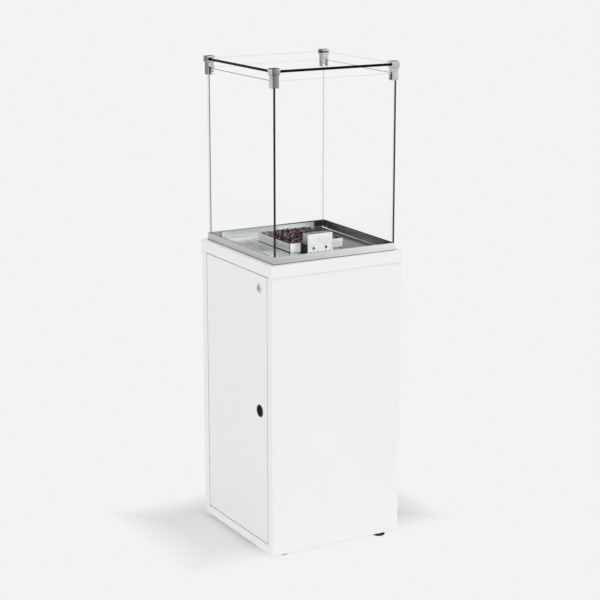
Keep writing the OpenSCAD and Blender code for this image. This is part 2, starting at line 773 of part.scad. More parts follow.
module electrode_ceramic() {
    color([0.95, 0.95, 0.93]) translate([spark_p[0], spark_p[1], bz0 + inox]) difference() {
        union() {
            cylinder(h = 3, r = 6);
            cylinder(h = bz1 - bz0 + 3, r = 3);
        }
        translate([0, 0, -1]) cylinder(h = bz1 - bz0 + 10, r = 1.02);
    }
}

// Controls

module gas_valve() {
    color([0.75, 0.73, 0.68]) {
        span(ctl_x, ctl_x + valve_l, valve_y - valve_w / 2, valve_y + valve_w / 2,
            ctl_z - valve_h / 2, ctl_z + valve_h / 2);
        rod_x(ctl_x - 20, ctl_x + 1, valve_y, ctl_z, 4);
        difference() {
            rod_x(ctl_x + valve_l - 1, ctl_x + valve_l + valve_out, valve_y, ctl_z, 8);
            rod_x(ctl_x + valve_l + 6, ctl_x + valve_l + valve_out + 6, valve_y, ctl_z, 2);
        }
    }
}

module gas_inlet() {
    color([0.78, 0.62, 0.3]) translate([ctl_x + valve_l / 2, valve_y, ctl_z - valve_h / 2]) difference() {
        union() {
            translate([0, 0, -7]) cylinder(h = 7, r = 9.5, $fn = 6);
            translate([0, 0, -22]) cylinder(h = 16, r = 6.58);
        }
        translate([0, 0, -23]) cylinder(h = 20, r = 3);
    }
}

module control_panel() {
    color([0.7, 0.71, 0.72]) difference() {
        union() {
            span(ctl_x - inox, ctl_x, panel_y[0], panel_y[1], ctl_z - panel_low, shield_z + inox);
            for (y = [[panel_y[0], valve_y - valve_w / 2 - 5], [valve_y + valve_w / 2 + 5, panel_y[1]]])
                span(ctl_x - inox, ctl_x + panel_fold, y[0], y[1], shield_z - inox, shield_z);
        }
        rod_x(ctl_x - 5, ctl_x + 5, valve_y, ctl_z, 5);
        rod_x(ctl_x - 5, ctl_x + 5, spark_y, ctl_z, 9 + fit);
    }
}

module control_knob() {
    color([0.06, 0.06, 0.07]) difference() {
        union() {
            translate([ctl_x - 3, valve_y, ctl_z]) rotate([0, -90, 0]) rotate_extrude()
                polygon([[0, 0], [22, 0], [22, 3], [18, 5], [17, 18], [16, 19], [0, 19]]);
            span(ctl_x - 24, ctl_x - 20, valve_y - 2.5, valve_y + 2.5, ctl_z - 15, ctl_z + 15);
        }
        rod_x(ctl_x - 20.2, ctl_x, valve_y, ctl_z, 4 + fit);
    }
}

module igniter_housing() {
    color([0.07, 0.07, 0.07]) difference() {
        union() {
            rod_x(ctl_x - 4, ctl_x + 30, spark_y, ctl_z, 9);
            rod_x(ctl_x - inox - 2, ctl_x - inox, spark_y, ctl_z, 12);
        }
        rod_x(ctl_x - 5, ctl_x + 16, spark_y, ctl_z, 7 + fit);
    }
}

module igniter_button() {
    color([0.6, 0.05, 0.04]) translate([ctl_x + 10, spark_y, ctl_z]) rotate([0, -90, 0])
        rotate_extrude() polygon([[0, 0], [7, 0], [7, 20], [6, 21], [0, 21]]);
}

base_tray();
front_panel();
back_panel();
side_panel();
bottom_rail();
top_rail();
top_cap();
heat_shield();
door_panel();
door_pivots();
pivot_bushes();
door_bumpers();
finger_cup();
lock_housing();
lock_plug();
lock_cam();
lock_nut();
foot_door_front();
foot_door_back();
foot_side_front();
foot_side_back();
foot_nuts();
tray_gasket();
rim_tray();
tray_screws();
tray_nuts();
floor_pan();
glass_rails();
glass_seats();
pane_front();
pane_back();
pane_left();
pane_right();
top_glass();
clamp_front_left();
clamp_front_right();
clamp_back_left();
clamp_back_right();
clamp_liners();
lid_pads();
clamp_screws();
burner_box();
burner_grate();
burner_tube();
injector_bracket();
burner_injector();
lava_stones();
pilot_box();
pilot_burner();
thermocouple();
spark_electrode();
electrode_ceramic();
gas_pipe();
pilot_pipe();
gas_valve();
gas_inlet();
control_panel();
control_knob();
igniter_housing();
igniter_button();
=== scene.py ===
"""Looks of a glass-sided gas fireplace on a white sheet-steel cabinet.

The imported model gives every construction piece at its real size. This script gives each of them
its finish, puts glass with ground edges, softened sheet edges and porous stones in the place of
the plain solids, and sets up the studio. Lengths are in metres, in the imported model's own frame:
+Z up, -Y the plain front, -X the door side.
"""

from __future__ import annotations

import json
import logging
import math
from collections.abc import Callable, Iterable
from dataclasses import dataclass, field, replace
from enum import Enum

import bmesh
import bpy
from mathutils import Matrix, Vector

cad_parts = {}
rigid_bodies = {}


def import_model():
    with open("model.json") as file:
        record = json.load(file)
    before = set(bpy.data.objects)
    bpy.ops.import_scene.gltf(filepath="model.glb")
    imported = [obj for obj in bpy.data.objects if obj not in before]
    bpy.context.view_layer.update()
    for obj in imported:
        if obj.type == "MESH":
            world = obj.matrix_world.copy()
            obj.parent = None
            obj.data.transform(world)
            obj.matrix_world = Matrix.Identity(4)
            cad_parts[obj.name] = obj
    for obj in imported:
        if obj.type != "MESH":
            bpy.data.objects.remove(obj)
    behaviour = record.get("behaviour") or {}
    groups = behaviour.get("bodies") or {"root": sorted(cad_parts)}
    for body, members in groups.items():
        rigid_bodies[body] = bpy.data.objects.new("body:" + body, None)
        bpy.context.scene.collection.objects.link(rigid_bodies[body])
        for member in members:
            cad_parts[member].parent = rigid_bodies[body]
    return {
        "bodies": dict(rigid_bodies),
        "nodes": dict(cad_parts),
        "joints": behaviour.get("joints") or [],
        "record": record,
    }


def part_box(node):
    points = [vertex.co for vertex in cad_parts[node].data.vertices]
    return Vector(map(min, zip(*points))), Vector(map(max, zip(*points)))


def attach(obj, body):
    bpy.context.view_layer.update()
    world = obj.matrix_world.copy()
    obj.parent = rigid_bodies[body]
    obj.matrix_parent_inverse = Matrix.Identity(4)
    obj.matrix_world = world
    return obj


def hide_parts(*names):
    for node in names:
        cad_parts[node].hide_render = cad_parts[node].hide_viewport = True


LOG = logging.getLogger("fireplace")
MM = 0.001
FAR = 9.0  # beyond every side of the object
PLAIN_SHINE = 0.5  # the specular level of plain plastic
NOISE_RANGE = (0.3, 0.7)  # what the values of a noise mostly lie between

Colour = tuple[float, float, float]
Span = tuple[float, float]
Zone = tuple[Colour, Colour]
Socket = bpy.types.NodeSocket
Node = bpy.types.Node
Input = float | tuple[float, ...] | Socket
Options = dict[str, object]


class Grain(Enum):
    """The way the lines of a brushed or rolled surface run, as a stretch of its pattern on X, Y, Z."""

    ALONG_X = (0.015, 1.0, 1.0)
    ALONG_Y = (1.0, 0.015, 1.0)
    LEVEL = (0.015, 0.015, 1.0)
    UPRIGHT = (1.0, 1.0, 0.015)


class Facing(Enum):
    """The way a face of a folded sheet looks."""

    SIDEWAYS = "along X"
    LENGTHWAYS = "along Y"
    UPWARDS = "up"
    DOWNWARDS = "down"

    @classmethod
    def of(cls, normal: Vector) -> Facing:
        """Tell the way a face looks by the longest part of its normal.

        Args:
            normal: the face's normal.

        Returns:
            The way that it looks.
        """
        longest = max(range(3), key=lambda axis: abs(normal[axis]))
        if longest == 2:
            return cls.UPWARDS if normal.z > 0 else cls.DOWNWARDS
        return (cls.SIDEWAYS, cls.LENGTHWAYS)[longest]


class Graph:
    """Adds and links the nodes of one shader or geometry tree."""

    def __init__(self, tree: bpy.types.NodeTree) -> None:
        """Keep the tree that the nodes go into."""
        self.tree = tree

    def fill(self, socket: Socket, value: Input) -> None:
        """Link an output socket to an input, or set the input to a constant.

        Args:
            socket: the input.
            value: an output socket or a constant.
        """
        if isinstance(value, Socket):
            self.tree.links.new(value, socket)
        else:
            socket.default_value = value

    def feed(self, node: Node, inputs: dict[str, Input]) -> None:
        """Fill inputs of a node, by name with _ for a space."""
        for name, value in inputs.items():
            self.fill(node.inputs[name.replace("_", " ")], value)

    def node(self, kind: str, *first: Input, options: Options | None = None, **inputs: Input) -> Node:
        """Add a node.

        Args:
            kind: Blender's name for this kind of node.
            first: values of its first inputs, in order.
            options: the node's properties, such as its operation.
            inputs: values by the input's name, with _ for a space.

        Returns:
            The new node.
        """
        made = self.tree.nodes.new(kind)
        for name, value in (options or {}).items():
            setattr(made, name, value)
        for socket, value in zip(made.inputs, first):
            self.fill(socket, value)
        self.feed(made, inputs)
        return made

    def out(self, kind: str, *first: Input, options: Options | None = None, **inputs: Input) -> Socket:
        """Add a node, described as for node(), and give its first output."""
        return self.node(kind, *first, options=options, **inputs).outputs[0]

    def calculate(self, operation: str, first: Input, second: Input) -> Socket:
        """Combine two numbers by one of the Math node's operations."""
        return self.out("ShaderNodeMath", first, second, options={"operation": operation})

    def vectors(self, operation: str, first: Input, second: Input) -> Socket:
        """Combine two vectors by one of the Vector Math node's operations."""
        return self.out("ShaderNodeVectorMath", first, second, options={"operation": operation})

    def scaled(self, vector: Socket, factor: Input) -> Socket:
        """Multiply a vector by a number."""
        return self.out("ShaderNodeVectorMath", vector, options={"operation": "SCALE"}, Scale=factor)

    def spread(
        self, value: Input, low: float, high: float, to_low: Input = 0.0, to_high: Input = 1.0
    ) -> Socket:
        """Map a number from between low and high to between to_low and to_high, held inside it."""
        return self.out("ShaderNodeMapRange", value, low, high, to_low, to_high, options={"clamp": True})

    def between(self, share: Input, low: Input, high: Input) -> Socket:
        """Give the number that lies a share of the way from low to high."""
        return self.spread(share, 0.0, 1.0, low, high)

    def blend(self, share: Input, first: Input, second: Input) -> Socket:
        """Mix two colours.

        Args:
            share: 0 for the first, 1 for the second.
            first: the first colour, with alpha.
            second: the second colour, with alpha.

        Returns:
            The mixed colour's socket.
        """
        made = self.node("ShaderNodeMix", share, options={"data_type": "RGBA"})
        self.fill(made.inputs[6], first)
        self.fill(made.inputs[7], second)
        return made.outputs[2]

    def depth_inside(self, place: Socket, zone: Zone) -> Socket:
        """Measure how far a point lies inside a box, from the nearest of its sides.

        Args:
            place: the point.
            zone: the box's lowest and highest corner.

        Returns:
            The distance's socket, negative outside the box.
        """
        low, high = zone
        above = self.vectors("SUBTRACT", place, low)
        nearest = self.vectors("MINIMUM", above, self.vectors("SUBTRACT", high, place))
        sides = self.node("ShaderNodeSeparateXYZ", nearest).outputs
        return self.calculate("MINIMUM", self.calculate("MINIMUM", sides["X"], sides["Y"]), sides["Z"])

    def rays(self, *kinds: str) -> Socket:
        """Tell whether a ray is of one of some kinds.

        Args:
            kinds: the kinds, such as Camera or Shadow.

        Returns:
            The socket, 1 for such a ray.
        """
        path = self.node("ShaderNodeLightPath").outputs
        found, *others = (path[f"Is {kind} Ray"] for kind in kinds)
        for other in others:
            found = self.calculate("MAXIMUM", found, other)
        return found


def cleared_tree(block: bpy.types.Material | bpy.types.World) -> bpy.types.NodeTree:
    """Give the node tree of a material or world, emptied.

    Args:
        block: the material or world.

    Returns:
        Its tree.
    """
    block.use_nodes = True
    block.node_tree.nodes.clear()
    return block.node_tree


class Pattern(Enum):
    """A noise shared by materials: its detail, and its outputs with their frequency."""

    MOTTLE = (4.0, {"Value": 1.0})
    DRAWN_LINES = (2.0, {"Lines": 1.0, "Bands": 0.06})

    def group(self) -> bpy.types.NodeTree:
        """Give the pattern's shader group, built the first time it is asked for.

        Returns:
            The group, with the inputs Vector and Size, and outputs from 0 to 1.
        """
        known = bpy.data.node_groups.get(self.name.lower())
        if known is not None:
            return known
        detail, titles = self.value
        tree = bpy.data.node_groups.new(self.name.lower(), "ShaderNodeTree")
        tree.interface.new_socket("Vector", in_out="INPUT", socket_type="NodeSocketVector")
        tree.interface.new_socket("Size", in_out="INPUT", socket_type="NodeSocketFloat")
        for title in titles:
            tree.interface.new_socket(title, in_out="OUTPUT", socket_type="NodeSocketFloat")
        graph = Graph(tree)
        given = graph.node("NodeGroupInput").outputs
        result = graph.node("NodeGroupOutput")
        finest = graph.calculate("DIVIDE", 1.0, given["Size"])
        for title, frequency in titles.items():
            scale = graph.calculate("MULTIPLY", finest, frequency)
            noise = graph.out("ShaderNodeTexNoise", Vector=given["Vector"], Scale=scale, Detail=detail)
            graph.feed(result, {title: graph.spread(noise, *NOISE_RANGE)})
        return tree


def rgba(colour: Colour, share: float = 1.0) -> tuple[float, float, float, float]:
    """Give a colour, darkened or lightened by a factor, with full alpha."""
    return (*(min(1.0, part * share) for part in colour), 1.0)


def grey(level: float) -> tuple[float, float, float, float]:
    """Give a neutral colour with full alpha."""
    return rgba((level, level, level))


@dataclass(frozen=True)
class Stain:
    """A box of space in which a finish has another tone; the script mostly uses it to paint shade, light and
    reflections onto finishes.

    Attributes:
        x: the box's lowest and highest X; open when left out, and the same for y and z.
        y: its lowest and highest Y.
        z: its lowest and highest Z.
        feather: how far inside the box the stain is full.
        colour: the stain's tone.
        strength: the share of it that shows.
        dull: how much of the metal's shine it takes, from 0 to 1.
    """

    x: Span = (-FAR, FAR)
    y: Span = (-FAR, FAR)
    z: Span = (-FAR, FAR)
    feather: float = 0.4 * MM
    colour: Colour = (0.012, 0.014, 0.014)
    strength: float = 1.0
    dull: float = 1.0

    def zone(self) -> Zone:
        """Give the box's lowest and highest corner."""
        low, high = zip(self.x, self.y, self.z)
        return low, high


Stains = tuple[Stain, ...]


@dataclass(frozen=True)
class Drift:
    """A change of tone and sheen over a surface.

    Attributes:
        size: the distance over which it goes.
        tones: the colour's factor at its two ends.
        sheen: half of the rise in roughness from the first end to the second.
    """

    size: float
    tones: Span
    sheen: float


@dataclass(frozen=True)
class Relief:
    """A fine texture that stands out of a surface.

    Attributes:
        size: the size of its cells.
        depth: how deep it is.
        share: the share of that depth that shows.
    """

    size: float
    depth: float
    share: float


class Surface(Graph):
    """The tree of one material: a Principled shader, and the object's coordinates to paint it by."""

    def __init__(self, material: bpy.types.Material) -> None:
        """Lay the shader, the coordinates and the output in the emptied tree.

        Args:
            material: the material.
        """
        super().__init__(cleared_tree(material))
        self.shader = self.node("ShaderNodeBsdfPrincipled")
        self.place = self.node("ShaderNodeTexCoord").outputs["Object"]
        self.output = self.node("ShaderNodeOutputMaterial", Surface=self.shader.outputs["BSDF"])

    def give(self, **inputs: Input) -> None:
        """Fill inputs of the shader, by name with _ for a space."""
        self.feed(self.shader, inputs)

    def pattern(self, pattern: Pattern, place: Socket, size: float) -> bpy.types.NodeOutputs:
        """Place a shared pattern and give its outputs."""
        group = {"node_tree": pattern.group()}
        return self.node("ShaderNodeGroup", options=group, Vector=place, Size=size).outputs

    def mottle(self, size: float) -> Socket:
        """Give an uneven tone from 0 to 1, in soft patches of a size."""
        return self.pattern(Pattern.MOTTLE, self.place, size)["Value"]

    def behind(self) -> Socket:
        """Tell the faces that are seen from inside the piece."""
        return self.node("ShaderNodeNewGeometry").outputs["Backfacing"]

    def stained(self, stains: Stains, tone: Input) -> tuple[Input, Input]:
        """Lay stains over a tone.

        Args:
            stains: the stains.
            tone: the tone so far.

        Returns:
            The stained tone, and the share of the shine that is lost.
        """
        lost: Input = 0.0
        for stain in stains:
            depth = self.depth_inside(self.place, stain.zone())
            share = self.spread(depth, 0.0, stain.feather, 0.0, stain.strength)
            tone = self.blend(share, tone, rgba(stain.colour))
            lost = self.calculate("MAXIMUM", lost, self.calculate("MULTIPLY", share, stain.dull))
        return tone, lost

    def bump(self, height: Input, depth: float, strength: float = 1.0) -> None:
        """Raise the surface by a height from 0 to 1, where 1 stands for the depth."""
        self.give(Normal=self.out("ShaderNodeBump", Strength=strength, Distance=depth, Height=height))

    def textured(self, relief: Relief) -> Socket:
        """Give the surface a relief, and give its height from 0 to 1."""
        height = self.mottle(relief.size)
        self.bump(height, relief.depth, relief.share)
        return height


@dataclass(frozen=True)
class Finish:
    """A finish: a named material around one Principled shader.

    Attributes:
        name: the material's name.
        colour: the base colour, linear.
        roughness: the middle of its roughness.
        stains: where its tone differs.
    """

    name: str
    colour: Colour
    roughness: float
    stains: Stains = field(default=(), kw_only=True)

    def material(self) -> bpy.types.Material:
        """Give this finish's material, built the first time it is asked for.

        Returns:
            The material.
        """
        made = bpy.data.materials.get(self.name)
        if made is None:
            made = bpy.data.materials.new(self.name)
            surface = Surface(made)
            surface.give(Base_Color=rgba(self.colour), Roughness=self.roughness)
            self.paint(surface)
        return made

    def paint(self, surface: Surface) -> None:
        """Add this finish's own pattern to the material's surface."""
        raise NotImplementedError

    def toned(self, surface: Surface, share: Input, drift: Drift) -> Socket:
        """Let tone and roughness drift with a share.

        Args:
            surface: the material's surface.
            share: the share, from 0 to 1.
            drift: the change from 0 to 1.

        Returns:
            The tone's socket.
        """
        ends = (self.roughness - drift.sheen, self.roughness + drift.sheen)
        surface.give(Roughness=surface.between(share, *ends))
        return surface.blend(share, *(rgba(self.colour, factor) for factor in drift.tones))


@dataclass(frozen=True)
class PowderCoat(Finish):
    """A baked powder coat with a faint orange peel.

    Attributes:
        drift: its change over a panel.
        peel: the orange peel.
        skin: the weight of the coat's glossier skin.
        skin_roughness: the skin's roughness.
    """

    drift: Drift = Drift(180 * MM, (0.992, 1.006), 0.05)
    peel: Relief = Relief(2.2 * MM, 0.02 * MM, 0.6)
    skin: float = 0.15
    skin_roughness: float = 0.2

    def paint(self, surface: Surface) -> None:
        """Add the drift of tone and sheen, and the orange peel.

        Args:
            surface: the material's surface.
        """
        tone = self.toned(surface, surface.mottle(self.drift.size), self.drift)
        surface.give(Base_Color=tone, Coat_Weight=self.skin, Coat_Roughness=self.skin_roughness)
        surface.textured(self.peel)


@dataclass(frozen=True)
class SheetMetal(Finish):
    """Bare metal with drawn lines and uneven tone.

    Attributes:
        grain: the way its lines run.
        pitch: the distance between the lines.
        lines: how much darker and rougher the lines are, from 0 to 1.
        patches: how much the tone changes over the sheet, from 0 to 1.
        patch_size: the size of such a change.
        tint: the colour that the patches lean to.
        bare: the share of bare metal; the rest is a non-metallic surface in the same colour.
        depth: how deep the lines are.
        relief: the share of that depth that shows.
        mix: the shares of the fine lines and of the broad bands.
        edge: how bright it stays where it is seen at a flat angle.
        stain_shine: the specular level where a stain has taken all shine.
    """

    grain: Grain = Grain.LEVEL
    pitch: float = 0.8 * MM
    lines: float = 0.12
    patches: float = 0.08
    patch_size: float = 60 * MM
    tint: Colour | None = None
    bare: float = 1.0
    depth: float = 0.008 * MM
    relief: float = 0.35
    mix: Span = (0.6, 0.4)
    edge: float = 1.0
    stain_shine: float = 0.02

    def paint(self, surface: Surface) -> None:
        """Add the drawn lines, their bands and the uneven tone.

        Args:
            surface: the material's surface.
        """
        along = surface.out("ShaderNodeMapping", Vector=surface.place, Scale=self.grain.value)
        drawn = surface.pattern(Pattern.DRAWN_LINES, along, self.pitch)
        fine, broad = (
            surface.calculate("MULTIPLY", drawn[title], share)
            for title, share in zip(("Lines", "Bands"), self.mix)
        )
        lined = surface.calculate("ADD", fine, broad)
        drift = Drift(self.pitch, (1 + self.lines, 1 - self.lines), 0.5 * self.lines * self.roughness)
        light = self.toned(surface, lined, drift)
        strength = self.patches if self.tint else 2 * self.patches
        dark = rgba(self.tint) if self.tint else rgba(self.colour, 1 - strength)
        share = surface.between(surface.mottle(self.patch_size), 0.0, strength)
        tone, lost = surface.stained(self.stains, surface.blend(share, light, dark))
        surface.give(Base_Color=tone, Specular_Tint=grey(self.edge), Metallic=self.bare)
        # Where a stain paints shade or a reflection, it also takes away the metal's shine by its dull share.
        if self.stains:
            surface.give(
                Metallic=surface.between(lost, self.bare, 0.0),
                Specular_IOR_Level=surface.between(lost, PLAIN_SHINE, self.stain_shine),
            )
        surface.bump(drawn["Lines"], self.depth, self.relief)


@dataclass(frozen=True)
class Galvanised(Finish):
    """Zinc-coated sheet with a spangle of crystals.

    Attributes:
        spangle: the size of a crystal, and the change from the darkest to the palest one.
        grit: the coat's texture.
    """

    spangle: Drift = Drift(9 * MM, (0.82, 1.12), -0.1)
    grit: Relief = Relief(3 * MM, 0.01 * MM, 0.4)

    def paint(self, surface: Surface) -> None:
        """Add the crystals, each with its own tone and sheen.

        Args:
            surface: the material's surface.
        """
        cells = surface.node("ShaderNodeTexVoronoi", Vector=surface.place, Scale=1 / self.spangle.size)
        crystal = surface.node("ShaderNodeSeparateColor", cells.outputs["Color"]).outputs["Red"]
        surface.give(Base_Color=self.toned(surface, crystal, self.spangle), Metallic=1.0)
        surface.textured(self.grit)


@dataclass(frozen=True)
class Moulded(Finish):
    """Moulded plastic, rubber or ceramic with a fine skin.

    Attributes:
        drift: its slow change.
        skin: the skin's texture.
        gloss_coat: the weight of a clear coat on it.
        shine: the shader's specular level.
    """

    drift: Drift = Drift(25 * MM, (0.88, 1.12), 0.04)
    skin: Relief = Relief(0.9 * MM, 0.03 * MM, 0.6)
    gloss_coat: float = 0.0
    shine: float = PLAIN_SHINE

    def paint(self, surface: Surface) -> None:
        """Add the skin's texture and a slow change of tone.

        Args:
            surface: the material's surface.
        """
        tone = self.toned(surface, surface.mottle(self.drift.size), self.drift)
        surface.give(
            Base_Color=surface.stained(self.stains, tone)[0],
            Specular_IOR_Level=self.shine,
            Coat_Weight=self.gloss_coat,
        )
        surface.textured(self.skin)


@dataclass(frozen=True)
class LavaRock(Finish):
    """Porous volcanic stone, dark, with a painted highlight on the upper side of each stone and painted shade
    in its pores.

    Attributes:
        pale: the colour of the painted highlight on the stones' upper sides.
        pore: the size of a pore.
        fleck: the size of the flecks in the painted highlight.
        shine: the shader's specular level.
        flecked: the values of the mottle at which a fleck begins and is full.
        highlit: the heights on a stone, from -1 to 1, at which the painted highlight begins and is full.
        least: the share of the painted highlight on the stone whose random tone is lowest.
        closed: the distances from a pore's middle at which its wall begins and ends, in cells.
        hollow: the factor of the colour inside a pore, a painted shade.
        depth: how deep a pore is.
    """

    pale: Colour = (0.64, 0.42, 0.455)
    pore: float = 2.2 * MM
    fleck: float = 8 * MM
    shine: float = 0.12
    flecked: Span = (0.42, 0.72)
    highlit: Span = (0.1, 0.75)
    least: float = 0.25
    closed: Span = (0.12, 0.5)
    hollow: float = 0.25
    depth: float = 0.8 * MM

    def paint(self, surface: Surface) -> None:
        """Add each stone's tone, the painted highlight on its upper side and the painted shade in the pores.

        Args:
            surface: the material's surface.
        """
        crown, tone = (
            surface.node("ShaderNodeAttribute", options={"attribute_name": name}).outputs["Fac"]
            for name in ("crown", "tone")
        )
        # Painted highlight: paler flecks on the upper side of each stone.
        flecks = surface.spread(surface.mottle(self.fleck), *self.flecked)
        upper_flecks = surface.calculate("MULTIPLY", surface.spread(crown, *self.highlit), flecks)
        highlight = surface.calculate("MULTIPLY", upper_flecks, surface.between(tone, self.least, 1.0))
        # Painted shade: the inside of each pore is darker.
        kind = {"feature": "SMOOTH_F1"}
        cells = surface.node("ShaderNodeTexVoronoi", options=kind, Vector=surface.place, Scale=1 / self.pore)
        closed = surface.spread(cells.outputs["Distance"], *self.closed)
        ground = surface.blend(highlight, rgba(self.colour), rgba(self.pale))
        porous = surface.blend(closed, rgba(self.colour, self.hollow), ground)
        surface.give(Base_Color=porous, Specular_IOR_Level=self.shine)
        surface.bump(closed, self.depth)


@dataclass(frozen=True)
class ClearGlass(Finish):
    """The clear faces of thin toughened glass. Light passes straight through.

    Attributes:
        index: the refractive index for what is seen through it.
        shine: the share of plain glass's reflection that it keeps, on the side that the light meets first.
        shine_index: the refractive index for its reflection.
        shadow: the tone of the light that it lets through onto other pieces.
        film: the size of the patches in the film on it.
    """

    index: float = 1.01
    shine: float = 0.25
    shine_index: float = 1.5
    shadow: Colour = (0.985, 0.99, 0.988)
    film: float = 120 * MM

    def paint(self, surface: Surface) -> None:
        """Make the shader clear, with a faint film on its surface, and let lamps through.

        Args:
            surface: the material's surface.
        """
        surface.give(
            Roughness=surface.between(surface.mottle(self.film), 0.0, self.roughness),
            Transmission_Weight=1.0,
            IOR=self.index,
            Coat_Weight=surface.between(surface.behind(), self.shine, 0.0),
            Coat_Roughness=0.0,
            Coat_IOR=self.shine_index,
        )
        through = surface.out("ShaderNodeBsdfTransparent", rgba(self.shadow))
        passing = surface.rays("Shadow", "Diffuse")
        mixed = surface.out("ShaderNodeMixShader", passing, surface.shader.outputs["BSDF"], through)
        surface.feed(surface.output, {"Surface": mixed})


@dataclass(frozen=True)
class GroundEdge(Finish):
    """The ground edge of a glass sheet: dark from outside, pale and half clear through the glass.

    Attributes:
        inside: its colour through the glass.
        clear: the share of light that passes it from inside.
        shine: the shader's specular level.
        grinding: the grinding's unevenness.
        tones: the lowest and highest factor of its colour.
    """

    inside: Colour = (0.4, 0.43, 0.42)
    clear: float = 0.78
    shine: float = 0.25
    grinding: Relief = Relief(4 * MM, 0.02 * MM, 0.5)
    tones: Span = (0.8, 1.3)

    def paint(self, surface: Surface) -> None:
        """Add the grinding's unevenness and the paler inside.

        Args:
            surface: the material's surface.
        """
        ground = surface.textured(self.grinding)
        outer = surface.blend(ground, *(rgba(self.colour, factor) for factor in self.tones))
        behind = surface.behind()
        surface.give(
            Base_Color=surface.blend(behind, outer, rgba(self.inside)),
            Alpha=surface.between(behind, 1.0, 1.0 - self.clear),
            Specular_IOR_Level=self.shine,
        )


